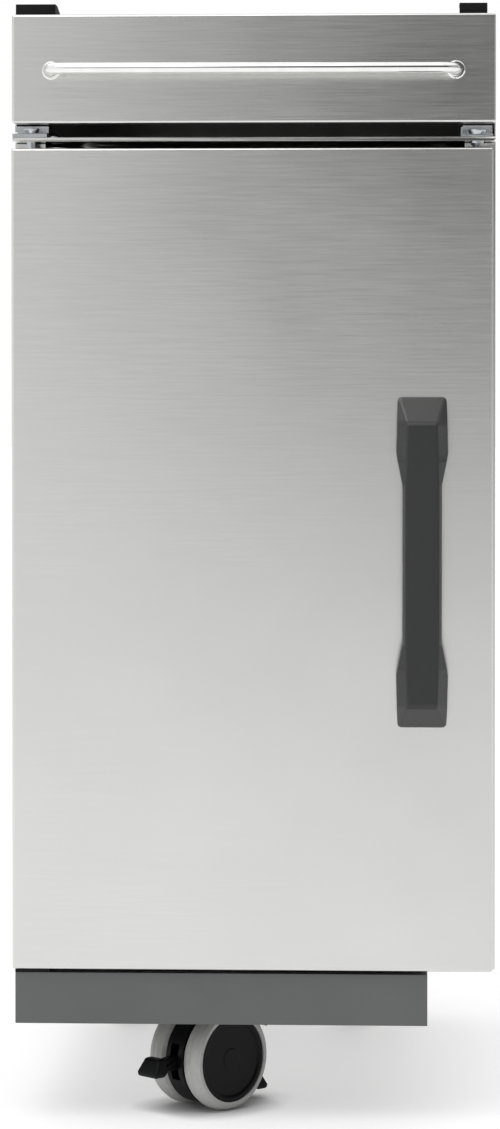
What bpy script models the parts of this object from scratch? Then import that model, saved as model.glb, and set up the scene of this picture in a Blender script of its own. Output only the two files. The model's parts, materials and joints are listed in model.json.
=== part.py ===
"""Grill cabinet: a slim stainless base cabinet with a drawer over a hinged door, on a frame with casters.

Metres, +Z up, the front faces -Y. The origin is on the floor, in the middle of the cabinet's box."""

from math import cos, pi, radians, sin

import bmesh
import bpy
from mathutils import Matrix, Vector

# Heights, from the floor up
CASTER_HEIGHT = 0.1192
BASE_HEIGHT = 0.0415
DOOR_GAP = 0.0034
DOOR_HEIGHT = 0.666
DIVIDER_GAP = 0.0056
DIVIDER_THICK = 0.0032
DRAWER_GAP = 0.0113
DRAWER_FRONT_HEIGHT = 0.088
CARCASS_DROP = 0.0024
BRACKET_RISE = 0.011

# Widths and depths
CABINET_WIDTH = 0.392
CARCASS_DEPTH = 0.480
DOOR_REVEAL = 0.0025
DRAWER_REVEAL = 0.0005
DOOR_THICK = 0.022
DOOR_STANDOFF = 0.009
BASE_INSET_LEFT = 0.002
BASE_INSET_RIGHT = 0.055
BASE_INSET_FRONT = 0.005

# Sheet metal
SHEET = 0.0015
PANEL_FLANGE = 0.025
REAR_FLANGE = 0.020
FRONT_CORNER = 0.002
BASE_SHEET = 0.0025
BASE_FLANGE = 0.130
BASE_LIP = 0.012
TOP_RAIL_DEPTH = 0.034
TOP_RAIL_HEIGHT = 0.020
DIVIDER_RECESS = 0.003
DIVIDER_TONGUE = 0.040
DIVIDER_WEB = 0.025
FLOOR_RIM = 0.020
LINER_DEPTH = 0.014
SHELF_UP = 0.315
SHELF_RIM = 0.018
SHELF_SETBACK = 0.030
SUPPORT_LEG = 0.016

# Clearances
GAP = 0.0003
RUNNING = 0.0003
WHEEL_SIDE_GAP = 0.001

# Door hinge and catch
PIN_RADIUS = 0.004
PIN_INSET = 0.0155
PIN_ENTRY = 0.010
PIN_HEAD_RADIUS = 0.0062
PIN_CROWN_RADIUS = 0.0037
PIN_HEAD = 0.004
HINGE_LEAF = 0.003
HINGE_LEAF_WIDTH = 0.028
HINGE_LEAF_DEPTH = 0.020
HINGE_EDGE = 0.007
LOWER_LEAF = 0.0024
LOWER_LEAF_REACH = 0.060
CATCH_WIDTH = 0.026
CATCH_UPRIGHT = 0.0075
CATCH_SHEET = 0.0015
CATCH_RADIUS = 0.0055
CATCH_HEAD_RADIUS = 0.0072
CATCH_NOSE = 0.0033

# Door handle
HANDLE_LENGTH = 0.266
HANDLE_WIDTH = 0.0416
HANDLE_FACE = 0.024
HANDLE_REACH = 0.042
HANDLE_END_DEPTH = 0.005
HANDLE_BROW_DEPTH = 0.0386
HANDLE_SLOPE = 0.018
HANDLE_BROW = 0.008
HANDLE_FOOT = 0.044
HANDLE_NECK = 0.006
HANDLE_NECK_WIDTH = 0.0395
HANDLE_NECK_GAP = 0.017
HANDLE_TAPER = 0.020
GRIP_WIDTH = 0.0314
GRIP_FACE = 0.023
FINGER_GAP = 0.024
HANDLE_SHOULDER = 0.65
HANDLE_FROM_EDGE = 0.0572
HANDLE_DOWN = 0.3346

# Drawer
DRAWER_THICK = 0.020
DRAWER_LENGTH = 0.400
DRAWER_BOX_LOW = 0.0045
DRAWER_BOX_HEIGHT = 0.056
BAR_RADIUS = 0.0045
BAR_FROM_EDGE = 0.0275
BAR_REACH = 0.030
BAR_BEND = 0.011
BAR_UP = 0.0425
FERRULE_RADIUS = 0.0075
FERRULE_FACE_RADIUS = 0.0064
FERRULE_THICK = 0.002
RUNNER_HEIGHT = 0.045
RUNNER_DEPTH = 0.0123
RUNNER_LENGTH = 0.400
RUNNER_UP = 0.0265
RUNNER_OVERLAP = 0.0088

# Top brackets
BRACKET_SHEET = 0.0025
BRACKET_DEPTH = 0.075
BRACKET_SEAT = 0.020
LEFT_BRACKET_WIDTH = 0.0325
RIGHT_BRACKET_WIDTH = 0.0227
LEFT_BRACKET_INSET = 0.0005
RIGHT_BRACKET_INSET = 0.0067

# Twin-wheel casters
WHEEL_RADIUS = 0.0425
WHEEL_SEGMENTS = 28
TYRE_WIDTH = 0.019
TYRE_INNER = 0.035
TYRE_FLAT = 0.007
TREAD_SHOULDER = 0.0035
TREAD_DROP = 0.0015
TREAD_EDGE = 0.005
HUB_CLEARANCE = 0.0006
HUB_RECESS = 0.003
HUB_RING_RADIUS = 0.031
HUB_RING_RECESS = 0.0012
HUB_INSET = 0.001
CASTER_WIDTH = 0.060
TRAIL = 0.020
AXLE_RADIUS = 0.004
AXLE_SEAT = 0.004
CASTER_PLATE = 0.064
CASTER_PLATE_THICK = 0.003
HOUSING_RADIUS = 0.0395
STEM_RADIUS = 0.015
NECK_WIDTH = 0.027
NECK_DROP = 0.014
STEM_OVERLAP = 0.012
HOOD_CLEARANCE = 0.003
HOOD_THICK = 0.0025
FRONT_STEM_BACK = 0.085
REAR_STEM_FORWARD = 0.075
REAR_STEM_SIDE = 0.066
FRONT_HEADING = radians(-133.5)
REAR_LEFT_HEADING = radians(100)
REAR_RIGHT_HEADING = radians(75)

# Brake rocker on the front caster, as distances from its axle
ROCKER_WIDTH = 0.008
ROCKER_EYE = 0.010
ROCKER_TIP = 0.004
PEDAL_REACH = 0.062
PEDAL_DROP = 0.001
RELEASE_REACH = 0.051
RELEASE_DROP = 0.027
PEDAL_WIDTH = 0.024
PEDAL_LENGTH = 0.014
PEDAL_THICK = 0.015
SLOT_UP = 0.014
SLOT_DOWN = 0.016
SLOT_REAR_DOWN = 0.029

# Places that follow from the sizes
CABINET_DEPTH = HANDLE_REACH + GAP + DOOR_THICK + DOOR_STANDOFF + CARCASS_DEPTH
LEFT = -CABINET_WIDTH / 2
RIGHT = CABINET_WIDTH / 2
BACK = CABINET_DEPTH / 2
DOOR_FRONT = -CABINET_DEPTH / 2 + HANDLE_REACH + GAP
DOOR_BACK = DOOR_FRONT + DOOR_THICK
CARCASS_FRONT = DOOR_BACK + DOOR_STANDOFF
BASE_TOP = CASTER_HEIGHT + GAP + BASE_SHEET
BASE_BOTTOM = BASE_TOP - BASE_HEIGHT
DOOR_BOTTOM = BASE_TOP + DOOR_GAP
DOOR_TOP = DOOR_BOTTOM + DOOR_HEIGHT
DOOR_RIGHT = RIGHT - DOOR_REVEAL
DIVIDER_BOTTOM = DOOR_TOP + DIVIDER_GAP
DIVIDER_TOP = DIVIDER_BOTTOM + DIVIDER_THICK
DRAWER_LEFT = LEFT + DRAWER_REVEAL
DRAWER_RIGHT = RIGHT - DRAWER_REVEAL
DRAWER_BOTTOM = DIVIDER_TOP + DRAWER_GAP
DRAWER_TOP = DRAWER_BOTTOM + DRAWER_FRONT_HEIGHT
CARCASS_TOP = DRAWER_TOP - CARCASS_DROP
INNER_LEFT = LEFT + SHEET + GAP
INNER_RIGHT = RIGHT - SHEET - GAP
BASE_LEFT = LEFT + BASE_INSET_LEFT
BASE_RIGHT = RIGHT - BASE_INSET_RIGHT
BASE_FRONT = DOOR_FRONT + BASE_INSET_FRONT
BACK_PANEL_FACE = BACK - SHEET - GAP
FLOOR_FRONT = CARCASS_FRONT + SHEET + GAP
FLOOR_BACK = BACK_PANEL_FACE - SHEET - GAP
FLOOR_BOTTOM = BASE_TOP + GAP + LOWER_LEAF + GAP
SHELF_SEAT = FLOOR_BOTTOM + SHELF_UP
PIVOT = Vector((LEFT + PIN_INSET, DOOR_FRONT + DOOR_THICK / 2, 0))
CATCH = Vector((DOOR_RIGHT - CATCH_WIDTH / 2, PIVOT.y, 0))
RUNNER_CENTRE = DRAWER_BOTTOM + RUNNER_UP
AXLE_HEIGHT = WHEEL_RADIUS * cos(pi / WHEEL_SEGMENTS)
STEM_TOP = CASTER_HEIGHT - CASTER_PLATE_THICK - GAP
WHEEL_OFFSET = (CASTER_WIDTH - TYRE_WIDTH) / 2
HOUSING_WIDTH = CASTER_WIDTH - 2 * TYRE_WIDTH - 2 * WHEEL_SIDE_GAP

PARTS = bpy.data.collections.new("grill_cabinet")
CUTTERS = bpy.data.collections.new("grill_cabinet_cutters")


def finish(name, colour, roughness, metallic):
    """One Principled material."""
    made = bpy.data.materials.new(name)
    made.use_nodes = True
    shader = made.node_tree.nodes["Principled BSDF"]
    shader.inputs["Base Color"].default_value = (*colour, 1)
    shader.inputs["Roughness"].default_value = roughness
    shader.inputs["Metallic"].default_value = metallic
    return made


STAINLESS = finish("brushed_stainless", (0.62, 0.62, 0.61), 0.35, 1.0)
POLISHED = finish("polished_stainless", (0.80, 0.80, 0.80), 0.08, 1.0)
ZINC = finish("zinc_plated_steel", (0.55, 0.56, 0.58), 0.35, 1.0)
GREY_COAT = finish("grey_powder_coat", (0.15, 0.15, 0.15), 0.50, 0.0)
BLACK_COAT = finish("black_powder_coat", (0.015, 0.015, 0.015), 0.50, 0.0)
HANDLE_PLASTIC = finish("dark_grey_nylon", (0.045, 0.045, 0.045), 0.50, 0.0)
BLACK_PLASTIC = finish("black_nylon", (0.010, 0.010, 0.010), 0.45, 0.0)
GREY_RUBBER = finish("grey_tread_rubber", (0.35, 0.35, 0.35), 0.70, 0.0)


def add(name, mesh, place, material, parent=None):
    """A named part at its place, in its parent's frame if it has one."""
    part = bpy.data.objects.new(name, mesh)
    part.location = place
    part.parent = parent
    if material:
        mesh.materials.append(material)
    PARTS.objects.link(part)
    return part


def mesh_of(name, points, faces):
    """A mesh of points and faces."""
    mesh = bpy.data.meshes.new(name)
    mesh.from_pydata([tuple(p) for p in points], [], faces)
    return mesh


def cube_mesh(name, size, open_side=None):
    """A box round the origin, with the face that looks along open_side left out."""
    work = bmesh.new()
    bmesh.ops.create_cube(work, size=1, matrix=Matrix.Diagonal((*size, 1)))
    if open_side:
        gone = [f for f in work.faces if f.normal.dot(Vector(open_side)) > 0.9]
        bmesh.ops.delete(work, geom=gone, context="FACES")
    mesh = bpy.data.meshes.new(name)
    work.to_mesh(mesh)
    work.free()
    return mesh


def rounded(part, radius):
    """Rounds every sharp edge of a part."""
    bevel = part.modifiers.new("rounded", "BEVEL")
    bevel.width = radius
    bevel.segments = 2
    bevel.limit_method = "ANGLE"
    return part


def thickened(part, wall):
    """Gives an open surface its wall, to the inside."""
    solid = part.modifiers.new("wall", "SOLIDIFY")
    solid.thickness = wall
    solid.offset = -1
    solid.use_even_offset = True
    return part


def block(name, low, high, material, parent=None):
    """A plain box between two corners."""
    low, high = Vector(low), Vector(high)
    return add(name, cube_mesh(name, high - low), (low + high) / 2, material, parent)


def pan(name, low, high, open_side, wall, corner, material):
    """A folded sheet box with one side open, its bends rounded if corner isn't 0."""
    low, high = Vector(low), Vector(high)
    part = add(name, cube_mesh(name, high - low, open_side), (low + high) / 2, material)
    if corner:
        rounded(part, corner)
    return thickened(part, wall)


def folded(name, path, start, end, along, wall, material):
    """A bent strip: a path across the axis along, drawn out from start to end. The wall lies to its left."""
    turn = "XYZ".index(along)
    points = []
    for reach in (start, end):
        for a, b in path:
            point = [0, 0, 0]
            point[turn] = reach
            point[(turn + 1) % 3] = a
            point[(turn + 2) % 3] = b
            points.append(point)
    count = len(path)
    faces = [(i, i + 1, count + i + 1, count + i) for i in range(count - 1)]
    return thickened(add(name, mesh_of(name, points, faces), (0, 0, 0), material), wall)


def extruded(name, outline, half, material, parent, place=(0, 0, 0)):
    """A flat outline in the local XZ plane, given a thickness of half on each side along Y."""
    work = bmesh.new()
    ring = [work.verts.new((x, half, z)) for x, z in outline]
    face = work.faces.new(ring)
    grown = bmesh.ops.extrude_face_region(work, geom=[face])["geom"]
    moved = [v for v in grown if isinstance(v, bmesh.types.BMVert)]
    bmesh.ops.translate(work, verts=moved, vec=(0, -2 * half, 0))
    bmesh.ops.recalc_face_normals(work, faces=work.faces)
    mesh = bpy.data.meshes.new(name)
    work.to_mesh(mesh)
    work.free()
    return add(name, mesh, place, material, parent)


def cylinder(name, radius, low, high, place, material, parent=None, segments=20):
    """An upright cylinder from low to high, measured from place."""
    work = bmesh.new()
    middle = Matrix.Translation((0, 0, (low + high) / 2))
    bmesh.ops.create_cone(
        work, cap_ends=True, segments=segments, radius1=radius, radius2=radius,
        depth=high - low, matrix=middle)
    mesh = bpy.data.meshes.new(name)
    work.to_mesh(mesh)
    work.free()
    return add(name, mesh, place, material, parent)


def turned(name, profile, place, material, closed=False, segments=20, parent=None):
    """A profile of radius and height, turned round the local Z axis. It runs down its outer side."""
    count = len(profile)
    edges = [(i, i + 1) for i in range(count - 1)]
    if closed:
        edges.append((count - 1, 0))
    mesh = bpy.data.meshes.new(name)
    mesh.from_pydata([(r, 0, h) for r, h in profile], edges, [])
    part = add(name, mesh, place, material, parent)
    screw = part.modifiers.new("turned", "SCREW")
    screw.steps = screw.render_steps = segments
    screw.use_merge_vertices = True
    screw.merge_threshold = 0.00001
    screw.use_smooth_shade = True
    return part


def hidden(cutter):
    """Moves a shape to the cutters, which the part leaves out."""
    PARTS.objects.unlink(cutter)
    CUTTERS.objects.link(cutter)
    cutter.hide_render = True
    cutter.display_type = "WIRE"
    return cutter


def combine(part, other, how):
    """Cuts or joins a part with a shape that is then hidden."""
    step = part.modifiers.new(how.lower(), "BOOLEAN")
    step.operation = how
    step.object = hidden(other)
    return part


def drilled(part, radius, low, high, place):
    """An upright running hole for a pin of that radius, cut a little past low and high."""
    name = "%s_hole_%d" % (part.name, len(part.modifiers))
    return combine(part, cylinder(name, radius + RUNNING, low - GAP, high + GAP, place, None), "DIFFERENCE")


def side_panel(name, sign):
    """A carcass side: outer sheet with a front and a rear flange. The front flange stops below the drawer."""
    outer = sign * CABINET_WIDTH / 2
    front, back = outer - sign * PANEL_FLANGE, outer - sign * REAR_FLANGE
    path = [(front, CARCASS_FRONT), (outer, CARCASS_FRONT), (outer, BACK), (back, BACK)]
    panel = folded(name, path[::sign], BASE_TOP + GAP, CARCASS_TOP, "Z", SHEET, STAINLESS)
    near, far = sorted((front - sign * GAP, outer - sign * SHEET))
    low = (near, CARCASS_FRONT - SHEET, DIVIDER_BOTTOM - GAP)
    high = (far, CARCASS_FRONT + 2 * SHEET, CARCASS_TOP + SHEET)
    return combine(panel, block(name + "_notch", low, high, None), "DIFFERENCE")


def carcass():
    """The box: sides, back, floor, top rails, divider and shelf."""
    side_panel("left_side_panel", -1)
    side_panel("right_side_panel", 1)
    low = (INNER_LEFT, BACK_PANEL_FACE - SHEET, FLOOR_BOTTOM)
    block("back_panel", low, (INNER_RIGHT, BACK_PANEL_FACE, CARCASS_TOP), STAINLESS)
    low, high = (INNER_LEFT, FLOOR_FRONT, FLOOR_BOTTOM), (INNER_RIGHT, FLOOR_BACK, FLOOR_BOTTOM + FLOOR_RIM)
    pan("bottom_panel", low, high, (0, 0, 1), SHEET, FRONT_CORNER, STAINLESS)
    top_rail("top_front_rail", CARCASS_FRONT + GAP)
    top_rail("top_rear_rail", FLOOR_BACK - TOP_RAIL_DEPTH)
    divider_rail()
    shelf()


def top_rail(name, front):
    """A channel across the open top, with both flanges down."""
    back, low = front + TOP_RAIL_DEPTH, CARCASS_TOP - TOP_RAIL_HEIGHT
    path = [(back, low), (back, CARCASS_TOP), (front, CARCASS_TOP), (front, low)]
    folded(name, path, INNER_LEFT, INNER_RIGHT, "X", SHEET, STAINLESS)


def divider_rail():
    """The strip between drawer and door: a front edge over the whole width, a tongue between the sides."""
    front, notch = DOOR_FRONT + DIVIDER_RECESS, CARCASS_FRONT - GAP
    back, web = CARCASS_FRONT + DIVIDER_TONGUE, DIVIDER_TOP - DIVIDER_WEB
    low, high = (DRAWER_LEFT, front, DIVIDER_BOTTOM), (DRAWER_RIGHT, notch, DIVIDER_TOP)
    rail = block("divider_rail", low, high, STAINLESS)
    high = (INNER_RIGHT, back, DIVIDER_TOP)
    tongue, lip = (notch - DIVIDER_THICK, DIVIDER_BOTTOM), (back - DIVIDER_THICK, web)
    for label, low in (("tongue", tongue), ("lip", lip)):
        combine(rail, block("divider_" + label, (INNER_LEFT, *low), high, None), "UNION")
    drilled(rail, PIN_RADIUS, DIVIDER_BOTTOM, DIVIDER_TOP, PIVOT)
    drilled(rail, CATCH_RADIUS, DIVIDER_BOTTOM, DIVIDER_TOP, CATCH)


def shelf():
    """A shelf with rims folded down at front and rear, on an angle along each side."""
    front, back = FLOOR_FRONT + SHELF_SETBACK, FLOOR_BACK - GAP
    for name, sign, wall in (("left_shelf_support", -1, INNER_LEFT), ("right_shelf_support", 1, INNER_RIGHT)):
        path = [(SHELF_SEAT - SUPPORT_LEG, wall), (SHELF_SEAT, wall), (SHELF_SEAT, wall - sign * SUPPORT_LEG)]
        folded(name, path[::-sign], front, back, "Y", SHEET, ZINC)
    bottom = SHELF_SEAT + GAP
    top = bottom + SHEET
    plate = block("shelf", (INNER_LEFT + GAP, front, bottom), (INNER_RIGHT - GAP, back, top), STAINLESS)
    half = INNER_RIGHT - SUPPORT_LEG - GAP
    for label, near in (("front", front), ("rear", back - SHEET)):
        rim = block("shelf_%s_rim" % label, (-half, near, top - SHELF_RIM), (half, near + SHEET, top), None)
        combine(plate, rim, "UNION")


def base_frame():
    """Four folded rails. The front and rear ones have wide flanges, which the casters are bolted under."""
    front_edge, rear_edge = BASE_FRONT + BASE_FLANGE, BACK - BASE_FLANGE
    lip, top, bottom = BASE_TOP - BASE_LIP, BASE_TOP, BASE_BOTTOM
    front_path = [(front_edge, lip), (front_edge, top), (BASE_FRONT, top), (BASE_FRONT, bottom)]
    rear_path = [(BACK, bottom), (BACK, top), (rear_edge, top), (rear_edge, lip)]
    folded("base_front_rail", front_path, BASE_LEFT, BASE_RIGHT, "X", BASE_SHEET, GREY_COAT)
    folded("base_rear_rail", rear_path, BASE_LEFT, BASE_RIGHT, "X", BASE_SHEET, GREY_COAT)
    near, far = BASE_FRONT + BASE_SHEET + GAP, BACK - BASE_SHEET - GAP
    for name, outer, sign in (("base_left_rail", BASE_LEFT, -1), ("base_right_rail", BASE_RIGHT, 1)):
        path = [(BASE_BOTTOM, outer), (CASTER_HEIGHT, outer), (CASTER_HEIGHT, outer - sign * BASE_LIP)]
        rail = folded(name, path[::-sign], near, far, "Y", BASE_SHEET, GREY_COAT)
        for label, middle in (("front", front_edge), ("rear", rear_edge)):
            half_notch = Vector((BASE_LIP + BASE_SHEET, 2 * BASE_SHEET, (BASE_LIP + 2 * GAP) / 2))
            centre = Vector((outer, middle, BASE_TOP - BASE_LIP / 2))
            notch = block("%s_%s_notch" % (name, label), centre - half_notch, centre + half_notch, None)
            combine(rail, notch, "DIFFERENCE")


def top_bracket(name, left, right, edge, toward):
    """A worktop bracket: foot on the rail, upright at its outer edge, worktop seat and sloping gusset."""
    foot, top = CARCASS_TOP + GAP, CARCASS_TOP + GAP + BRACKET_SHEET
    tip = DRAWER_TOP + BRACKET_RISE
    seat, far = edge + toward * BRACKET_SEAT, edge + toward * BRACKET_DEPTH
    points = [
        (left, edge, foot), (right, edge, foot), (right, far, foot), (left, far, foot),
        (left, edge, tip), (right, edge, tip), (right, far, top), (left, seat, tip), (right, seat, tip)]
    faces = [(3, 2, 1, 0), (0, 1, 5, 4), (1, 2, 6, 8, 5), (4, 5, 8, 7)]
    if toward < 0:
        faces = [face[::-1] for face in faces]
    thickened(add(name, mesh_of(name, points, faces), (0, 0, 0), BLACK_COAT), BRACKET_SHEET)


def top_brackets():
    """Four brackets at the corners of the open top."""
    left = LEFT + LEFT_BRACKET_INSET
    right = RIGHT - RIGHT_BRACKET_INSET
    for row, edge, toward in (("front", CARCASS_FRONT + GAP, 1), ("rear", BACK - SHEET, -1)):
        top_bracket(row + "_left_top_bracket", left, left + LEFT_BRACKET_WIDTH, edge, toward)
        top_bracket(row + "_right_top_bracket", right - RIGHT_BRACKET_WIDTH, right, edge, toward)


def top_hinge():
    """A leaf on the divider and a headed pin that drops through it into the door."""
    low, high = DIVIDER_TOP + GAP, DIVIDER_TOP + GAP + HINGE_LEAF
    front = PIVOT.y - HINGE_EDGE
    back_corner = (DRAWER_LEFT + HINGE_LEAF_WIDTH, front + HINGE_LEAF_DEPTH, high)
    leaf = block("top_hinge_bracket", (DRAWER_LEFT, front, low), back_corner, ZINC)
    drilled(leaf, PIN_RADIUS, low, high, PIVOT)
    head, foot = high + GAP, DOOR_TOP - PIN_ENTRY
    profile = [
        (0, head + PIN_HEAD), (PIN_CROWN_RADIUS, head + PIN_HEAD), (PIN_HEAD_RADIUS, head + PIN_HEAD / 2),
        (PIN_HEAD_RADIUS, head), (PIN_RADIUS, head), (PIN_RADIUS, foot), (0, foot)]
    turned("top_hinge_pin", profile, PIVOT, ZINC)


def bottom_hinge():
    """A long leaf on the base frame, let in under the side panel, and a plain pin up into the door."""
    low, high = BASE_TOP + GAP, BASE_TOP + GAP + LOWER_LEAF
    right, back = BASE_LEFT + HINGE_LEAF_WIDTH, PIVOT.y + LOWER_LEAF_REACH
    leaf = block("bottom_hinge_bracket", (BASE_LEFT, BASE_FRONT, low), (right, back, high), ZINC)
    drilled(leaf, PIN_RADIUS, low, high, PIVOT)
    notch_low = (LEFT - GAP, CARCASS_FRONT - SHEET, low - GAP)
    notch = block("hinge_leaf_notch", notch_low, (right + GAP, back + GAP, high + GAP), None)
    combine(bpy.data.objects["left_side_panel"], notch, "DIFFERENCE")
    cylinder("bottom_hinge_pin", PIN_RADIUS, low, DOOR_BOTTOM + PIN_ENTRY, PIVOT, ZINC)


def catch():
    """An angle on the divider over the door's free corner, and the headed pin that the door closes under."""
    low = DIVIDER_TOP + GAP
    left, right = CATCH.x - CATCH_WIDTH / 2, CATCH.x + CATCH_WIDTH / 2
    front = PIVOT.y - HINGE_EDGE
    path = [(low, right), (low, left), (low + CATCH_UPRIGHT, left)]
    leaf = folded("catch_bracket", path, front, front + HINGE_LEAF_DEPTH, "Y", CATCH_SHEET, ZINC)
    drilled(leaf, CATCH_RADIUS, low, low + CATCH_SHEET, CATCH)
    seat, nose = low + CATCH_SHEET + GAP, DOOR_TOP + 2 * GAP
    profile = [
        (0, seat + PIN_HEAD), (CATCH_RADIUS, seat + PIN_HEAD), (CATCH_HEAD_RADIUS, seat + PIN_HEAD / 2),
        (CATCH_HEAD_RADIUS, seat), (CATCH_RADIUS, seat), (CATCH_RADIUS, nose + CATCH_NOSE),
        (CATCH_RADIUS - CATCH_NOSE, nose), (0, nose)]
    turned("catch_pin", profile, CATCH, ZINC)


def door():
    """A double-skin door: outer pan, inner pan and the moulded handle."""
    low, high = (LEFT, DOOR_FRONT, DOOR_BOTTOM), (DOOR_RIGHT, DOOR_BACK, DOOR_TOP)
    skin = pan("door_skin", low, high, (0, 1, 0), SHEET, FRONT_CORNER, STAINLESS)
    inset = SHEET + GAP
    low = (LEFT + inset, DOOR_BACK - LINER_DEPTH, DOOR_BOTTOM + inset)
    high = (DOOR_RIGHT - inset, DOOR_BACK, DOOR_TOP - inset)
    liner = pan("door_liner", low, high, (0, -1, 0), SHEET, 0, STAINLESS)
    for sheet in (skin, liner):
        drilled(sheet, PIN_RADIUS, DOOR_TOP - PIN_ENTRY, DOOR_TOP, PIVOT)
        drilled(sheet, PIN_RADIUS, DOOR_BOTTOM, DOOR_BOTTOM + PIN_ENTRY, PIVOT)
    door_handle()


def handle_stations():
    """Sections of half the handle: distance from its middle, width, face width, front and back."""
    end = HANDLE_LENGTH / 2
    foot = end - HANDLE_FOOT
    brow = end - HANDLE_SLOPE
    neck = foot - HANDLE_NECK
    return [
        (end, HANDLE_WIDTH, HANDLE_FACE, HANDLE_END_DEPTH, 0),
        (brow, HANDLE_WIDTH, HANDLE_FACE, HANDLE_BROW_DEPTH, 0),
        (brow - HANDLE_BROW, HANDLE_WIDTH, HANDLE_FACE, HANDLE_REACH, 0),
        (foot, HANDLE_WIDTH, HANDLE_FACE, HANDLE_REACH, 0),
        (neck, HANDLE_NECK_WIDTH, HANDLE_FACE, HANDLE_REACH, HANDLE_NECK_GAP),
        (neck - HANDLE_TAPER, GRIP_WIDTH, GRIP_FACE, HANDLE_REACH, FINGER_GAP)]


def door_handle():
    """A moulded grip: feet on the door, sloping ends, and a narrower waist clear of the door."""
    upper = handle_stations()
    points = []
    for z, width, face, front, back in upper + [(-z, *rest) for z, *rest in upper[::-1]]:
        shoulder = back + (front - back) * HANDLE_SHOULDER
        half = [(width / 2, back), (width / 2, shoulder), (face / 2, front)]
        points += [(-x, -y, z) for x, y in half] + [(x, -y, z) for x, y in half[::-1]]
    sides, rows = 6, 2 * len(upper)
    faces = [tuple(range(sides)), tuple(range(sides * (rows - 1), sides * rows))]
    for row in range(rows - 1):
        for i in range(sides):
            a, b = sides * row + i, sides * row + (i + 1) % sides
            faces.append((a, b, b + sides, a + sides))
    mesh = mesh_of("door_handle", points, faces)
    work = bmesh.new()
    work.from_mesh(mesh)
    bmesh.ops.recalc_face_normals(work, faces=work.faces)
    work.to_mesh(mesh)
    work.free()
    place = (DOOR_RIGHT - HANDLE_FROM_EDGE, DOOR_FRONT - GAP, DOOR_TOP - HANDLE_DOWN)
    add("door_handle", mesh, place, HANDLE_PLASTIC)


def drawer():
    """The drawer: a folded front, a tray, the bar handle and a telescopic runner on each side."""
    front_high = (DRAWER_RIGHT, DOOR_FRONT + DRAWER_THICK, DRAWER_TOP)
    front_low = (DRAWER_LEFT, DOOR_FRONT, DRAWER_BOTTOM)
    pan("drawer_front", front_low, front_high, (0, 1, 0), SHEET, FRONT_CORNER, STAINLESS)
    side, low = INNER_RIGHT - RUNNER_DEPTH - GAP, DRAWER_BOTTOM + DRAWER_BOX_LOW
    tray_low = (-side, DOOR_FRONT + SHEET + GAP, low)
    tray_high = (side, CARCASS_FRONT + DRAWER_LENGTH, low + DRAWER_BOX_HEIGHT)
    pan("drawer_box", tray_low, tray_high, (0, 0, 1), SHEET, 0, STAINLESS)
    drawer_bar()
    runner("left", -1)
    runner("right", 1)


def runner(side, sign):
    """Two nested channels: the outer one on the cabinet's side and the inner one on the drawer's."""
    half, wall, face = RUNNER_HEIGHT / 2, INNER_RIGHT, INNER_RIGHT - RUNNER_DEPTH
    front, back = FLOOR_FRONT, FLOOR_FRONT + RUNNER_LENGTH
    top, bottom, mouth = RUNNER_CENTRE + half, RUNNER_CENTRE - half, face + SHEET
    outer = [(top, sign * mouth), (top, sign * wall), (bottom, sign * wall), (bottom, sign * mouth)]
    folded(side + "_runner_outer", outer[::sign], front, back, "Y", SHEET, ZINC)
    top, bottom, mouth = top - SHEET - RUNNING, bottom + SHEET + RUNNING, face + RUNNER_OVERLAP
    inner = [(bottom, sign * mouth), (bottom, sign * face), (top, sign * face), (top, sign * mouth)]
    folded(side + "_runner_inner", inner[::sign], front, back - SHEET, "Y", SHEET, ZINC)


def drawer_bar():
    """The bar handle: one rod bent back to the drawer front at each end, where it passes a ferrule."""
    height = DRAWER_BOTTOM + BAR_UP
    half = DRAWER_RIGHT - BAR_FROM_EDGE - BAR_RADIUS
    bend = (half - BAR_BEND, DOOR_FRONT - BAR_REACH + BAR_RADIUS + BAR_BEND)
    points = [(half, DOOR_FRONT - GAP), *arc(bend, BAR_BEND, 0, -90, 5)]
    points += [(-x, y) for x, y in points[::-1]]
    curve = bpy.data.curves.new("drawer_handle", "CURVE")
    curve.dimensions = "3D"
    curve.bevel_depth = BAR_RADIUS
    curve.bevel_resolution = 4
    curve.use_fill_caps = True
    spline = curve.splines.new("POLY")
    spline.points.add(len(points) - 1)
    for spot, (x, y) in zip(spline.points, points):
        spot.co = (x, y, height, 1)
    curve.materials.append(POLISHED)
    PARTS.objects.link(bpy.data.objects.new("drawer_handle", curve))
    bore = BAR_RADIUS + RUNNING
    profile = [
        (bore, 0), (FERRULE_FACE_RADIUS, 0), (FERRULE_RADIUS, -FERRULE_THICK / 2),
        (FERRULE_RADIUS, -FERRULE_THICK), (bore, -FERRULE_THICK)]
    for side, x in (("left", -half), ("right", half)):
        place = (x, DOOR_FRONT - GAP - FERRULE_THICK, height)
        ring = turned(side + "_handle_ferrule", profile, place, POLISHED, True)
        ring.rotation_euler = (pi / 2, 0, 0)


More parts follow.
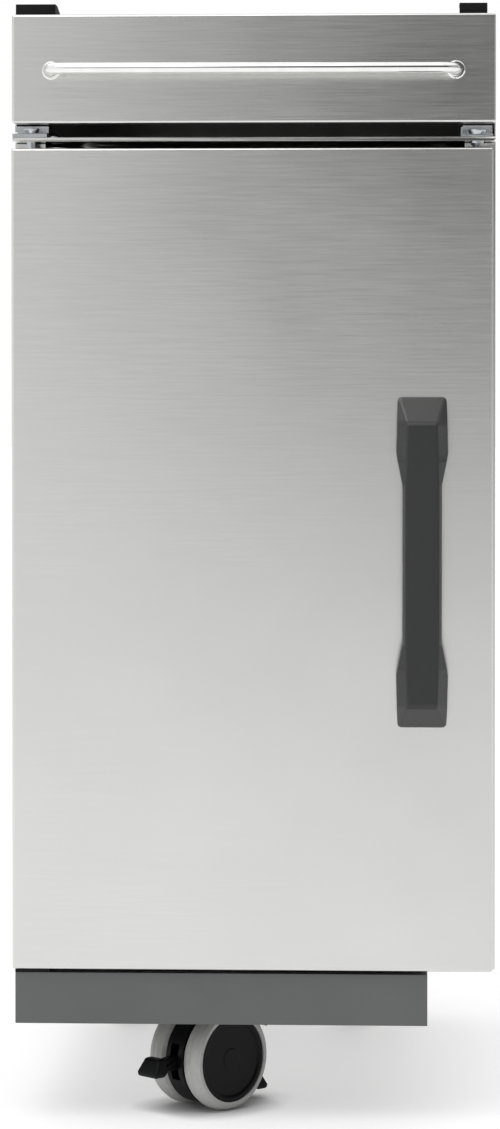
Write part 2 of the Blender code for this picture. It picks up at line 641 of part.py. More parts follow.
def wheel(prefix, sign, swivel):
    """One wheel of a twin caster: a tread ring, one flat of it down, on a hub with a closed outer face."""
    half, inner_face = TYRE_WIDTH / 2, HUB_INSET - TYRE_WIDTH / 2
    edge, shoulder = WHEEL_RADIUS - TREAD_EDGE, WHEEL_RADIUS - TREAD_DROP
    outer_half = [
        (TYRE_INNER, half), (edge, half), (shoulder, half - TREAD_DROP), (WHEEL_RADIUS, TYRE_FLAT / 2)]
    tyre = outer_half + [(r, -h) for r, h in outer_half[::-1]]
    rim, bore = TYRE_INNER - HUB_CLEARANCE, AXLE_RADIUS + RUNNING
    dish, ring = half - HUB_RECESS, half - HUB_RING_RECESS
    hub = [
        (0, dish), (HUB_RING_RADIUS / 2, dish), (HUB_RING_RADIUS, ring), (rim, ring - HUB_CLEARANCE),
        (rim, inner_face), (bore, inner_face), (bore, AXLE_SEAT), (0, AXLE_SEAT)]
    place = (TRAIL, sign * WHEEL_OFFSET, AXLE_HEIGHT)
    pieces = (("tyre", tyre, GREY_RUBBER, True), ("hub", hub, BLACK_PLASTIC, False))
    for piece, profile, material, closed in pieces:
        part = turned("%s_%s" % (prefix, piece), profile, place, material, closed, WHEEL_SEGMENTS, swivel)
        part.rotation_euler = (-sign * pi / 2, 0, 0)
        part.data.transform(Matrix.Rotation(pi / WHEEL_SEGMENTS, 4, "Z"))


def arc(centre, radius, start, end, steps):
    """Points on an arc in degrees."""
    turns = [radians(start + (end - start) * i / steps) for i in range(steps + 1)]
    return [(centre[0] + radius * cos(t), centre[1] + radius * sin(t)) for t in turns]


def axle_bore(part, reach, parent):
    """A running hole along the axle, cut through a piece that the axle passes."""
    place = (TRAIL, 0, AXLE_HEIGHT)
    hole = cylinder(part.name + "_bore", AXLE_RADIUS + RUNNING, -reach, reach, place, None, parent)
    hole.rotation_euler = (pi / 2, 0, 0)
    return combine(part, hole, "DIFFERENCE")


def housing(prefix, swivel, slotted):
    """The swivel body: a cheek disc round the axle, the stem over it and a hood across both wheels."""
    axle = (TRAIL, AXLE_HEIGHT)
    shoulder, neck = STEM_TOP - NECK_DROP, NECK_WIDTH / 2
    outline = [(-neck, shoulder), *arc(axle, HOUSING_RADIUS, 140, 430, 22), (neck, shoulder)]
    body = extruded(prefix + "_housing", outline, HOUSING_WIDTH / 2, BLACK_PLASTIC, swivel)
    inner = WHEEL_RADIUS + HOOD_CLEARANCE
    hood = arc(axle, inner, 55, 150, 8) + arc(axle, inner + HOOD_THICK, 150, 55, 8)
    combine(body, extruded(prefix + "_hood", hood, CASTER_WIDTH / 2 - WHEEL_SIDE_GAP, None, swivel), "UNION")
    stem = cylinder(prefix + "_stem", STEM_RADIUS, shoulder - STEM_OVERLAP, STEM_TOP, (0, 0, 0), None, swivel)
    combine(body, stem, "UNION")
    axle_bore(body, HOUSING_WIDTH, swivel)
    if slotted:
        half, top = ROCKER_WIDTH / 2 + 2 * RUNNING, AXLE_HEIGHT + SLOT_UP
        low = (TRAIL - PEDAL_REACH, -half, AXLE_HEIGHT - SLOT_DOWN)
        slot = block(prefix + "_slot", low, (TRAIL + PEDAL_REACH, half, top), None, swivel)
        combine(body, slot, "DIFFERENCE")
        low, high = (TRAIL - PEDAL_REACH, -half, AXLE_HEIGHT - SLOT_REAR_DOWN), (TRAIL, half, AXLE_HEIGHT)
        combine(body, block(prefix + "_rear_slot", low, high, None, swivel), "DIFFERENCE")


def brake_rocker(swivel):
    """The front caster's brake: an arm that rocks on the axle, with a pedal in front and a release behind."""
    eye_top, eye_bottom = arc((0, 0), ROCKER_EYE, 60, 130, 4), arc((0, 0), ROCKER_EYE, 240, 300, 4)
    outline = [
        (PEDAL_REACH, ROCKER_TIP - PEDAL_DROP), *eye_top, (-RELEASE_REACH, ROCKER_TIP - RELEASE_DROP),
        (-RELEASE_REACH, -ROCKER_TIP - RELEASE_DROP), *eye_bottom, (PEDAL_REACH, -ROCKER_TIP - PEDAL_DROP)]
    arm = extruded("brake_rocker", outline, ROCKER_WIDTH / 2, BLACK_PLASTIC, swivel, (TRAIL, 0, AXLE_HEIGHT))
    half_pad = Vector((PEDAL_LENGTH, PEDAL_WIDTH, PEDAL_THICK)) / 2
    for label, reach, drop in (("pedal", PEDAL_REACH, PEDAL_DROP), ("release", -RELEASE_REACH, RELEASE_DROP)):
        centre = Vector((TRAIL + reach, 0, AXLE_HEIGHT - drop))
        combine(arm, block("rocker_" + label, centre - half_pad, centre + half_pad, None, swivel), "UNION")
    axle_bore(arm, ROCKER_WIDTH, swivel)


def caster(prefix, x, y, heading, braked):
    """A caster under the base. In its own frame the wheels trail towards +X and the axle lies along Y."""
    swivel = bpy.data.objects.new(prefix + "_swivel", None)
    swivel.location = (x, y, 0)
    swivel.rotation_euler = (0, 0, heading)
    PARTS.objects.link(swivel)
    half = CASTER_PLATE / 2
    low = (x - half, y - half, CASTER_HEIGHT - CASTER_PLATE_THICK)
    block(prefix + "_plate", low, (x + half, y + half, CASTER_HEIGHT), ZINC)
    housing(prefix, swivel, braked)
    reach = WHEEL_OFFSET + AXLE_SEAT - RUNNING
    axle = cylinder(prefix + "_axle", AXLE_RADIUS, -reach, reach, (TRAIL, 0, AXLE_HEIGHT), ZINC, swivel, 16)
    axle.rotation_euler = (pi / 2, 0, 0)
    wheel(prefix + "_wheel_a", 1, swivel)
    wheel(prefix + "_wheel_b", -1, swivel)
    if braked:
        brake_rocker(swivel)


def casters():
    """One caster under the middle of the front rail and two under the rear rail."""
    rear = BACK - REAR_STEM_FORWARD
    caster("front_caster", (BASE_LEFT + BASE_RIGHT) / 2, BASE_FRONT + FRONT_STEM_BACK, FRONT_HEADING, True)
    caster("rear_left_caster", BASE_LEFT + REAR_STEM_SIDE, rear, REAR_LEFT_HEADING, False)
    caster("rear_right_caster", BASE_RIGHT - REAR_STEM_SIDE, rear, REAR_RIGHT_HEADING, False)


def main():
    for old in list(bpy.data.objects):
        bpy.data.objects.remove(old, do_unlink=True)
    bpy.context.scene.collection.children.link(PARTS)
    bpy.context.scene.collection.children.link(CUTTERS)
    carcass()
    base_frame()
    top_brackets()
    top_hinge()
    bottom_hinge()
    catch()
    door()
    drawer()
    casters()


main()
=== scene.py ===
"""Grill cabinet, the looks: finishes for every sheet, rod and moulding, and finer pieces over the frame.

Metres, +Z up, and the front faces -Y. The frame gives every place. The sizes and colours that a user would
change are properties of the scene."""

import json
from math import atan2, cos, pi, radians, sin

import bmesh
import bpy
from bpy.props import FloatProperty, FloatVectorProperty, IntProperty, PointerProperty, StringProperty
from mathutils import Matrix, Vector


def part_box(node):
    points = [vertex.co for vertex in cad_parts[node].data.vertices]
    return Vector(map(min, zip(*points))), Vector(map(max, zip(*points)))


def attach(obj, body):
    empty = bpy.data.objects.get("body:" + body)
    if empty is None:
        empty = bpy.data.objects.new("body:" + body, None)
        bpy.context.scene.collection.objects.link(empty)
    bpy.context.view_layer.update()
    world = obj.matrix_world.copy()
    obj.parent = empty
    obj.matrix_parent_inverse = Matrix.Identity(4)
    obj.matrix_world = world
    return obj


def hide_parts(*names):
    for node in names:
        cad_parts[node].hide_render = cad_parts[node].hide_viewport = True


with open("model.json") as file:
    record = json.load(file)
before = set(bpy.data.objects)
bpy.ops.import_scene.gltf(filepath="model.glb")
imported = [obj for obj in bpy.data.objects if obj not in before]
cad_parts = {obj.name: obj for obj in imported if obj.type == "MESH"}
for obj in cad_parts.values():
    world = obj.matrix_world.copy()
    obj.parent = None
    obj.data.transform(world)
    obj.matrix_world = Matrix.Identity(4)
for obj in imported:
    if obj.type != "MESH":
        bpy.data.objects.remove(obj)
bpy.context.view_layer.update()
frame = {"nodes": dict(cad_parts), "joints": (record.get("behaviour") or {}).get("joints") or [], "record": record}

bl_info = {
    "name": "Grill Cabinet",
    "version": (1, 0, 0),
    "blender": (4, 5, 0),
    "location": "View3D > Sidebar > Grill Cabinet",
    "description": "Finishes and fine pieces of a stainless grill cabinet on twin-wheel casters",
    "category": "Add Mesh",
}

CASTERS = ("front_caster", "rear_left_caster", "rear_right_caster")
CORNERS = ((-1, -1), (1, -1), (1, 1), (-1, 1))
UP = Vector((0, 0, 1))
OUT_OF_FRONT = Vector((0, -1, 0))
# Points closer than this are one point.
MERGE = 0.00001
# Facets that meet more flatly than this are shaded as one surface.
SMOOTH_ANGLE = radians(35)
# Most values of a noise pattern lie between these.
NOISE_SPAN = {"From Min": 0.3, "From Max": 0.7}
# Where each wall of the studio starts and is full, along one part of the heading from the cabinet.
BEHIND_CAMERA, FAR_LEFT, FAR_RIGHT = (-0.125, 0.01), (-0.3, -0.8), (0.45, 0.9)
BEYOND, OVERHEAD = (0.1, 0.7), (0.42, 0.72)
# Share of a ferrule's length before its chamfer.
FERRULE_COLLAR = 0.55
# Arcs of a caster's body round the axle: start and stop in degrees from behind, and steps.
CHEEK_ARC, HOOD_ARC = (140, 430, 56), (55, 150, 24)
# Arcs of the brake rocker's boss, over and under the axle.
BOSS_TOP, BOSS_FOOT = (60, 130, 10), (240, 300, 10)
# Outline of the rib on the pedal's arm, in millimetres behind and over the axle.
RIB = ((42.5, 2.0), (57.5, -5.2), (56.5, -7.4), (41.5, -0.4))
# Levels of a pedal: height, inner edge, outer edge and width, as shares of half its sizes.
PEDAL_LEVELS = ((-1, -0.55, 1.0, 0.94), (-0.5, -1.0, 1.0, 1.0), (1.0, -1.0, 0.15, 0.72))
# Places of the back's screws, as shares of its width.
BACK_SCREWS = (0.08, 0.36, 0.64, 0.92)
# How far each screw's cross is turned against its neighbours', in radians for a metre between them.
SCREW_TURN = 40
# Half section of a pan head, as shares of its radius and height.
PAN_HEAD = ((0, 1), (0.55, 0.95), (0.85, 0.75), (1, 0.4), (1, 0), (0, 0))


def length(name, description, millimetres):
    """A size that a user sets, given in millimetres and kept in metres."""
    return FloatProperty(
        name=name, description=description, default=millimetres / 1000, min=0.0, unit="LENGTH", precision=5)


def colour(name, description, default):
    """A finish's colour, as an sRGB hex value."""
    return StringProperty(name=name, description=description, default=default)


def level(name, description, default):
    """A plain number from 0 up."""
    return FloatProperty(name=name, description=description, default=default, min=0.0)


def place(name, description, default):
    """A place in metres."""
    return FloatVectorProperty(name=name, description=description, default=default, unit="LENGTH")


def count(name, description, default, least):
    """A number of facets."""
    return IntProperty(name=name, description=description, default=default, min=least)


class StageSettings(bpy.types.PropertyGroup):
    """Floor, studio light and camera."""

    floor_size: length("Floor size", "Side of the square floor", 36000)
    floor_colour: colour("Floor colour", "Colour of the pale floor where light falls on it", "#c8c8c8")
    floor_glow: level("Floor glow", "Share of white that the floor gives by itself, also in shade", 0.50)
    floor_mottle: length("Floor mottle", "Size of the floor's faint clouds", 500)
    # These three shape the painted contact shadow on the floor under the front caster.
    contact_reach: length("Contact reach", "How near a piece darkens the floor's own glow", 30)
    contact_power: level("Contact power", "How fast the floor darkens towards a contact", 2.5)
    contact_depth: length("Contact depth", "How far behind the middle the contact shade has gone", 100)
    ceiling: level("Ceiling", "Brightness of the studio overhead", 1.15)
    wall_left: level("Wall left", "Brightness behind the camera at its left", 0.82)
    wall_far_left: level("Wall far left", "Brightness at the cabinet's left", 1.05)
    wall_far_right: level("Wall far right", "Brightness at the cabinet's right", 0.45)
    wall_right: level("Wall right", "Brightness behind the camera at its right", 0.08)
    wall_far: level("Wall far", "Brightness beyond the cabinet", 0.62)
    lamp_power: FloatProperty(
        name="Lamp power", description="Power of the soft box", default=18.0, unit="POWER")
    lamp_side: length("Lamp side", "Side of the square soft box", 1500)
    lamp_place: place("Lamp place", "Where the soft box hangs", (-0.7, -1.5, 2.5))
    lamp_target: place("Lamp target", "What the soft box is aimed at", (0.0, 0.0, 0.5))
    camera_place: place("Camera place", "Where the camera stands", (0.123, -3.2317, 0.64))
    camera_target: place("Camera target", "What it looks at", (-0.0026, -0.2344, 0.590))
    camera_shift: FloatProperty(
        name="Camera shift", description="Vertical shift of the lens", default=-0.1481)
    lens: FloatProperty(name="Lens", description="Focal length in millimetres", default=118.4, min=1.0)


class FinishSettings(bpy.types.PropertyGroup):
    """Colours, gloss and grain of the finishes."""

    steel: colour("Stainless sheet", "Belt-brushed stainless sheet", "#d4d4d2")
    steel_roughness: level("Stainless roughness", "Roughness of the brushed sheet", 0.20)
    steel_grain: length("Grain length", "Length of one brushed scratch", 42)
    steel_grain_height: length("Grain height", "Height of one scratch, drawn coarse enough to show", 0.85)
    handling: length("Handling", "Size of the faint clouds left by handling", 110)
    rod: colour("Polished rod", "Polished stainless rod", "#ececea")
    zinc: colour("Zinc plate", "Bright zinc plated steel", "#c3c6c9")
    plate_grain: length("Plate grain", "One grain of a plated or polished surface, drawn coarse", 1.6)
    plate_cloud: length("Plate cloud", "Size of a plated surface's faint clouds", 14)
    grey_coat: colour("Grey coat", "Satin grey powder coat", "#5a5b5b")
    black_coat: colour("Black coat", "Satin black powder coat", "#0e0e0e")
    peel: length("Orange peel", "One ripple of the powder coat", 1.8)
    coat_cloud: length("Coat cloud", "Size of the powder coat's faint clouds", 60)
    handle: colour("Handle", "Dark grey glass-filled nylon", "#202121")
    nylon: colour("Black nylon", "Black nylon of the caster bodies and hubs", "#0a0b0b")
    erosion: length("Erosion", "One grain of the moulds' eroded texture", 0.7)
    flow: length("Flow", "Width of the nylon's faint flow marks", 18)
    flow_rise: length("Flow rise", "Height of the nylon's faint flow marks", 45)
    tread: colour("Tread", "Soft grey caster tread", "#a6a6a4")
    tread_grain: length("Tread grain", "One grain of the matt tread", 0.9)
    scuff: length("Scuff", "Size of the tread's scuffs", 4)


class SheetSettings(bpy.types.PropertyGroup):
    """Folded sheets."""

    wall: length("Wall", "Thickness of the stainless sheet", 1.5)
    coated: length("Coated wall", "Thickness of the base frame's coated sheet", 2.5)
    fold: length("Fold radius", "Outer radius of the folds round the door and the drawer front", 2.0)
    fold_steps: count("Fold steps", "Facets of one fold", 5, 1)
    edge: length("Sheet edge", "Rounding of the folded edges of the plain sheets", 0.45)
    edge_steps: count("Edge steps", "Facets of a plain sheet's rounded edge", 2, 1)
    nose: length("Divider nose", "Rounding of the divider's front", 1.45)


class HandleSettings(bpy.types.PropertyGroup):
    """The moulded door handle."""

    face: length("Face", "Width of the flat front", 24)
    grip: length("Grip", "Width of the waist", 31.4)
    grip_face: length("Grip face", "Width of the flat front at the waist", 27)
    end_narrow: length("End taper", "How much narrower the handle is at its ends", 2.2)
    end_lip: length("End lip", "From the side to the flat front at the very end", 2.2)
    end_corner: length("End corner", "Cut of the corners at the very end", 1.8)
    neck_width: length("Neck width", "Width where the waist begins", 39.5)
    end_depth: length("End depth", "Height of the square end before the slope", 5)
    brow_depth: length("Brow depth", "Height at the top of the slope", 40.2)
    slope: length("Slope", "Length of the sloping end", 18.5)
    brow: length("Brow", "Length of the turn from slope to front", 3)
    foot: length("Foot", "Length of the part that stands on the door", 44)
    neck: length("Neck", "Length over which the foot lifts off the door", 6)
    neck_gap: length("Neck gap", "Height of the underside past the neck", 17)
    taper: length("Taper", "Length of the taper to the waist", 20)
    finger_gap: length("Finger gap", "Height of the underside at the waist", 24)
    shoulder: level("Shoulder", "Share of the depth at which the sides turn in", 0.65)
    rounding: length("Rounding", "Radius of the moulded corners", 2.0)


class BarSettings(bpy.types.PropertyGroup):
    """The drawer's bar handle."""

    bend: length("Bend", "Radius of the rod's bends at its centre line", 11)
    sides: count("Sides", "Facets round the rod", 32, 8)
    bend_steps: count("Bend steps", "Facets along one bend", 12, 2)
    ferrule_lip: length("Ferrule lip", "Rounding of the ferrules", 0.25)


class WheelSettings(bpy.types.PropertyGroup):
    """Tread and hub of a caster wheel."""

    steps: count("Wheel steps", "Facets round a wheel", 96, 12)
    half: length("Half width", "Half the width of one wheel", 9.5)
    inner: length("Tread inner radius", "Inner radius of the tread ring", 35)
    edge: length("Tread edge", "How far the tread's shoulder reaches in from its outer radius", 4.2)
    shoulder: length("Tread shoulder", "How far the shoulder's middle lies in from the outer radius", 1.6)
    shoulder_in: length("Shoulder in", "How far the shoulder's middle lies in from the wheel's side", 2.6)
    seam: length("Tread seam", "Height of the moulding seams round the tread", 0.45)
    seam_in: length("Seam in", "How far a seam lies in from the wheel's side", 7.0)
    seam_half: length("Seam half", "Half the width of a seam", 0.8)
    tread_lip: length("Tread lip", "Rounding of the tread's and the hub's edges", 0.3)
    hub_gap: length("Hub gap", "Gap between hub and tread", 0.4)
    recess: length("Hub recess", "How deep the hub's face lies in", 2.4)
    rim: length("Hub rim", "Width of the raised rim round the hub's face", 3)
    rim_in: length("Rim in", "How far the rim lies in from the wheel's side", 0.9)
    rim_slope: length("Rim slope", "Width of the slope inside the rim", 2.0)
    boss: length("Hub boss", "Radius of the raised disc in the middle of the hub", 8.5)
    boss_rise: length("Boss rise", "Height of that disc", 0.4)
    boss_slope: length("Boss slope", "Width of the slope round that disc", 0.7)
    back: length("Hub back", "How far the hub's back lies in from the wheel's inner side", 1.0)
    seat: length("Axle seat", "Where the axle's bore ends, from the wheel's middle", 4.0)


class CasterSettings(bpy.types.PropertyGroup):
    """Swivel bodies and brake of the twin-wheel casters."""

    cheek: length("Cheek radius", "Radius of the disc between the wheels", 39.5)
    hood_gap: length("Hood gap", "Gap between the hood and the wheels", 3)
    hood: length("Hood", "Thickness of the hood", 2.5)
    hood_width: length("Hood width", "Width of the hood over both wheels", 58)
    hood_lip: length("Hood lip", "Rounding of the hood's edges", 0.6)
    body_width: length("Body width", "Thickness of the disc between the wheels", 20)
    neck: length("Neck", "Width of the neck under the stem", 27)
    stem: length("Stem", "Radius of the swivel stem", 15)
    stem_rise: length("Stem rise", "Height of the stem over the neck", 14)
    stem_root: length("Stem root", "How far the stem reaches into the neck", 12)
    rounding: length("Moulding radius", "Rounding of the swivel body's edges", 0.9)
    arm: length("Rocker arm", "Thickness of the brake rocker's arm", 8)
    arm_half: length("Arm half", "Half the height of the arm at its ends", 4)
    arm_boss: length("Arm boss", "Radius of the rocker's boss round the axle", 10)
    arm_rounding: length("Arm rounding", "Rounding of the arm's edges", 0.8)
    rib_proud: length("Rib", "How much wider than the arm its rib is", 3)
    rib_rounding: length("Rib rounding", "Rounding of the rib's edges", 0.6)
    pedal_reach: length("Pedal reach", "From the axle to the middle of the pedal", 63)
    pedal_drop: length("Pedal drop", "How far the pedal's middle lies below the axle", 2)
    release_reach: length("Release reach", "From the axle to the middle of the release tab", 51)
    release_drop: length("Release drop", "How far the release tab lies below the axle", 27)
    slot_up: length("Slot up", "How far the rocker's slot reaches over the axle", 14)
    slot_down: length("Slot down", "How far the slot reaches under the axle", 16)
    release_slot: length("Release slot", "How far the slot reaches down on the release's side", 29)
    pad_width: length("Pad width", "Width of the pedal", 24)
    pad_length: length("Pad length", "Length of the pedal", 14)
    pad_thick: length("Pad height", "Height of the pedal", 15)
    pad_rounding: length("Pad rounding", "Radius of the pedal's corners", 2.2)


class HardwareSettings(bpy.types.PropertyGroup):
    """Hinge, catch, screws and bolts."""

    pin: length("Pin radius", "Radius of the hinge pins and axles", 4)
    pin_gap: length("Pin clearance", "Clearance round a pin in its hole", 0.3)
    pin_nose: length("Pin nose", "Chamfer at a hinge pin's foot", 0.4)
    stud: length("Catch stud", "Radius of the catch stud", 5.5)
    stud_nose: length("Stud nose", "Chamfer at the catch stud's foot", 3.3)
    head_dish: length("Head dish", "Depth of the dish in a pin's head", 1.0)
    head_rim: length("Head rim", "Width of the rim round the dish", 1.2)
    head_step: length("Head step", "Width of the slope inside the rim, and of the collar under the head", 0.6)
    head_flare: length("Head flare", "Height of the flared head", 4.0)
    hinge_leaf: length("Hinge leaf", "Thickness of the hinge's leaf", 3.0)
    catch_leaf: length("Catch leaf", "Thickness of the catch's leaf", 1.5)
    upstand: length("Upstand", "Height of the leaves' turned-up edge", 9.8)
    upstand_wall: length("Upstand wall", "Thickness of the turned-up edge", 1.5)
    upstand_bend: length("Upstand bend", "Radius of its inner corner", 2.5)
    upstand_in: length("Upstand in", "How far it stands in from the leaf's sides, and its own rounding", 0.3)
    bolt_flats: length("Bolt head", "Half the distance across a caster bolt's flats", 5)
    bolt_height: length("Bolt height", "Height of a caster bolt's head", 3.4)
    bolt_pitch: length("Bolt pitch", "Half the distance between a caster plate's bolts", 24)
    washer: length("Washer", "Radius of the washer face under a bolt's head", 6.4)
    washer_rise: length("Washer rise", "Height of the washer face", 0.8)
    washer_in: length("Washer in", "How far the washer face reaches into the head", 0.2)
    screw: length("Screw head", "Radius of a pan-head screw", 3.6)
    screw_height: length("Screw height", "Height of a pan head", 1.5)
    recess: length("Recess", "Half the span of a screw's cross recess", 1.9)
    recess_half: length("Recess half", "Half the width of the cross recess", 0.45)
    back_screw: length("Back screw", "From the back's upper and lower edges to its screws", 12)
    handle_screw: length("Handle screw", "From the door handle's ends to its screws", 22)
    hinge_screw: length("Hinge screw", "From the hinge leaf's side to the screw beside it", 5.5)
    hinge_screw_in: length("Hinge screw in", "From the hinge leaf's front to that screw", 4)


class CabinetSettings(bpy.types.PropertyGroup):
    """All the settings of the cabinet."""

    stage: PointerProperty(type=StageSettings, name="Stage", description="Floor, light and camera")
    finish: PointerProperty(type=FinishSettings, name="Finish", description="Colours, gloss and grain")
    sheet: PointerProperty(type=SheetSettings, name="Sheet", description="Folded sheets")
    handle: PointerProperty(type=HandleSettings, name="Handle", description="Door handle")
    bar: PointerProperty(type=BarSettings, name="Bar", description="Drawer bar")
    wheel: PointerProperty(type=WheelSettings, name="Wheel", description="Treads and hubs")
    caster: PointerProperty(type=CasterSettings, name="Caster", description="Swivel bodies and brake")
    hardware: PointerProperty(type=HardwareSettings, name="Hardware", description="Hinges, screws, bolts")


def settings():
    """The cabinet's settings on the scene."""
    return bpy.context.scene.grill_cabinet


def put(tree, kind, inputs=None, **options):
    """Adds one shader node, sets its options, and gives each named socket its value or its link."""
    node = tree.nodes.new("ShaderNode" + kind)
    for option, value in options.items():
        setattr(node, option, value)
    for socket, value in (inputs or {}).items():
        if isinstance(value, bpy.types.NodeSocket):
            tree.links.new(value, node.inputs[socket])
        else:
            node.inputs[socket].default_value = value
    return node


def linear(text, shade=1.0):
    """An sRGB hex value as the linear colour that a node takes, made darker or lighter by shade."""
    parts = [int(text[i:i + 2], 16) / 255 for i in (1, 3, 5)]
    return (*[shade * (c / 12.92 if c <= 0.04045 else ((c + 0.055) / 1.055) ** 2.4) for c in parts], 1)


def new_finish(name):
    """The empty node tree of a finish, which takes over the frame's plain material if there is one."""
    made = bpy.data.materials.get(name) or bpy.data.materials.new(name)
    made.use_nodes = True
    made.node_tree.nodes.clear()
    return made.node_tree


def lumps(tree, size, detail=3.0, roughness=0.5):
    """Uneven lumps on the piece's own coordinates: their size in metres, or their sizes along X, Y and Z."""
    sizes = size if isinstance(size, tuple) else 3 * (size,)
    own = put(tree, "TexCoord").outputs["Object"]
    grid = put(tree, "Mapping", {"Vector": own, "Scale": [1 / side for side in sizes]})
    noise = put(tree, "TexNoise", {
        "Vector": grid.outputs["Vector"], "Scale": 1.0, "Detail": detail, "Roughness": roughness})
    return noise.outputs["Fac"]


def mottled(tree, pattern, text, dark, light):
    """A finish's colour, which wanders along a pattern between a darker and a lighter shade."""
    share = put(tree, "MapRange", {"Value": pattern, **NOISE_SPAN}).outputs["Result"]
    shades = {6: linear(text, dark), 7: linear(text, light)}
    return put(tree, "Mix", {0: share, **shades}, data_type="RGBA").outputs[2]


def covered(tree, tint, rough, swing, gloss_pattern, relief, more):
    """Closes a finish: its colour, its roughness along a pattern, its relief as a height pattern, a strength
    and a depth in metres, and what more its surface needs."""
    pattern, strength, depth = relief
    dull = put(tree, "MapRange", {
        "Value": gloss_pattern, **NOISE_SPAN, "To Min": rough - swing[0], "To Max": rough + swing[1]})
    bump = put(tree, "Bump", {"Strength": strength, "Distance": depth, "Height": pattern})
    shader = put(tree, "BsdfPrincipled", {
        "Base Color": tint, "Roughness": dull.outputs["Result"], "Normal": bump.outputs["Normal"], **more})
    put(tree, "OutputMaterial", {"Surface": shader.outputs["BSDF"]})
    return dull, shader


def brushed_stainless(name, scratch):
    """Belt-brushed stainless sheet. Long fine scratches all run one way, so highlights smear across them."""
    finish = settings().finish
    tree = new_finish(name)
    grain = lumps(tree, scratch, 5.0, 0.62)
    streaks = lumps(tree, tuple(4 * side for side in scratch), 2.0)
    relief = put(tree, "Math", {0: lumps(tree, scratch, 1.0), 1: streaks}, operation="ADD").outputs["Value"]
    across = put(tree, "CombineXYZ", {"X": 0.0, "Y": 0.03, "Z": 1.0}).outputs["Vector"]
    dull, shader = covered(
        tree, mottled(tree, grain, finish.steel, 0.95, 1.02), finish.steel_roughness, (0.016, 0.016), grain,
        (relief, 0.04, 0.00006), {"Metallic": 1.0, "Anisotropic": 0.62, "Tangent": across})
    handled = lumps(tree, finish.handling, 2.0)
    wear = put(tree, "MapRange", {"Value": handled, **NOISE_SPAN, "To Min": -0.015, "To Max": 0.015})
    worn = put(tree, "Math", {0: dull.outputs["Result"], 1: wear.outputs["Result"]}, operation="ADD")
    tree.links.new(worn.outputs["Value"], shader.inputs["Roughness"])


def plated_steel(name, text, rough, swing):
    """Bright metal with a fine uneven plate or polish, so its gloss shifts a little over each piece."""
    finish = settings().finish
    tree = new_finish(name)
    fine = lumps(tree, finish.plate_grain)
    tint = mottled(tree, lumps(tree, finish.plate_cloud, 2.0), text, 0.92, 1.0)
    covered(tree, tint, rough, (swing, swing), fine, (fine, 0.10, 0.00005), {"Metallic": 1.0})


def powder_coat(name, text, gloss, rough):
    """Baked powder over steel. It flows into a soft orange peel with satin gloss."""
    finish = settings().finish
    tree = new_finish(name)
    peel = lumps(tree, finish.peel, 2.0)
    tint = mottled(tree, lumps(tree, finish.coat_cloud, 2.0), text, 0.95, 1.03)
    more = {"IOR": 1.5, "Specular IOR Level": gloss}
    covered(tree, tint, rough, (0.05, 0.05), peel, (peel, 0.22, 0.0001), more)


def moulded_nylon(name, text, gloss):
    """Injection-moulded nylon with a fine eroded texture. Its sheen is dull and breaks up in tiny grains."""
    finish = settings().finish
    tree = new_finish(name)
    grains = lumps(tree, finish.erosion, 3.0, 0.6)
    tint = mottled(tree, lumps(tree, (finish.flow, finish.flow, finish.flow_rise), 2.0), text, 0.93, 1.06)
    more = {"IOR": 1.53, "Specular IOR Level": gloss}
    covered(tree, tint, 0.42, (0.05, 0.07), grains, (grains, 0.30, 0.00008), more)


def tread_rubber(name, text):
    """Soft thermoplastic rubber. It is matt and picks up faint scuffs where it rolls."""
    finish = settings().finish
    tree = new_finish(name)
    scuffs = lumps(tree, finish.scuff, 4.0, 0.6)
    fine = lumps(tree, finish.tread_grain, 2.0)
    tint = mottled(tree, scuffs, text, 0.90, 1.04)
    covered(tree, tint, 0.55, (0.07, 0.07), scuffs, (fine, 0.20, 0.0001), {"IOR": 1.5})


def alone(piece=None):
    """Deselects all but the given piece, if there is one, so that the next operator acts on its own piece."""
    bpy.ops.object.select_all(action="DESELECT")
    if piece:
        piece.select_set(True)
        bpy.context.view_layer.objects.active = piece


def begun(name):
    """Names the primitive just added, applies its place and size, and opens it in edit mode."""
    piece = bpy.context.active_object
    piece.name = piece.data.name = name
    bpy.ops.object.transform_apply(location=True, rotation=True, scale=True)
    bpy.ops.object.mode_set(mode="EDIT")
    return piece


def choose(piece, kind, test):
    """Selects, in edit mode, the vertices, edges or faces that pass a test."""
    bpy.ops.mesh.select_mode(type=kind)
    bpy.ops.mesh.select_all(action="DESELECT")
    work = bmesh.from_edit_mesh(piece.data)
    for element in {"VERT": work.verts, "EDGE": work.edges, "FACE": work.faces}[kind]:
        if test(element):
            element.select_set(True)
    work.select_flush_mode()
    bmesh.update_edit_mesh(piece.data)


def merged():
    """Selects the whole piece in edit mode and merges its doubles."""
    bpy.ops.mesh.select_mode(type="VERT")
    bpy.ops.mesh.select_all(action="SELECT")
    bpy.ops.mesh.remove_doubles(threshold=MERGE)


def closed_up(piece):
    """Merges doubles, turns the faces out, and leaves edit mode."""
    merged()
    bpy.ops.mesh.normals_make_consistent(inside=False)
    bpy.ops.object.mode_set(mode="OBJECT")
    return piece


def shaped(piece, kind, **options):
    """Gives a piece one modifier and applies it."""
    alone(piece)
    step = piece.modifiers.new(kind.lower(), kind)
    for option, value in options.items():
        setattr(step, option, value)
    bpy.ops.object.modifier_apply(modifier=step.name)
    return piece


def rounded(piece, width, steps=3, angle=30):
    """Rounds the edges of a piece that are sharper than an angle in degrees."""
    return shaped(
        piece, "BEVEL", width=width, segments=steps, limit_method="ANGLE", angle_limit=radians(angle))


def joined(piece, other, how):
    """Cuts or unites a piece with another, which is used up."""
    shaped(piece, "BOOLEAN", object=other, operation=how, solver="EXACT")
    bpy.data.objects.remove(other)
    return piece


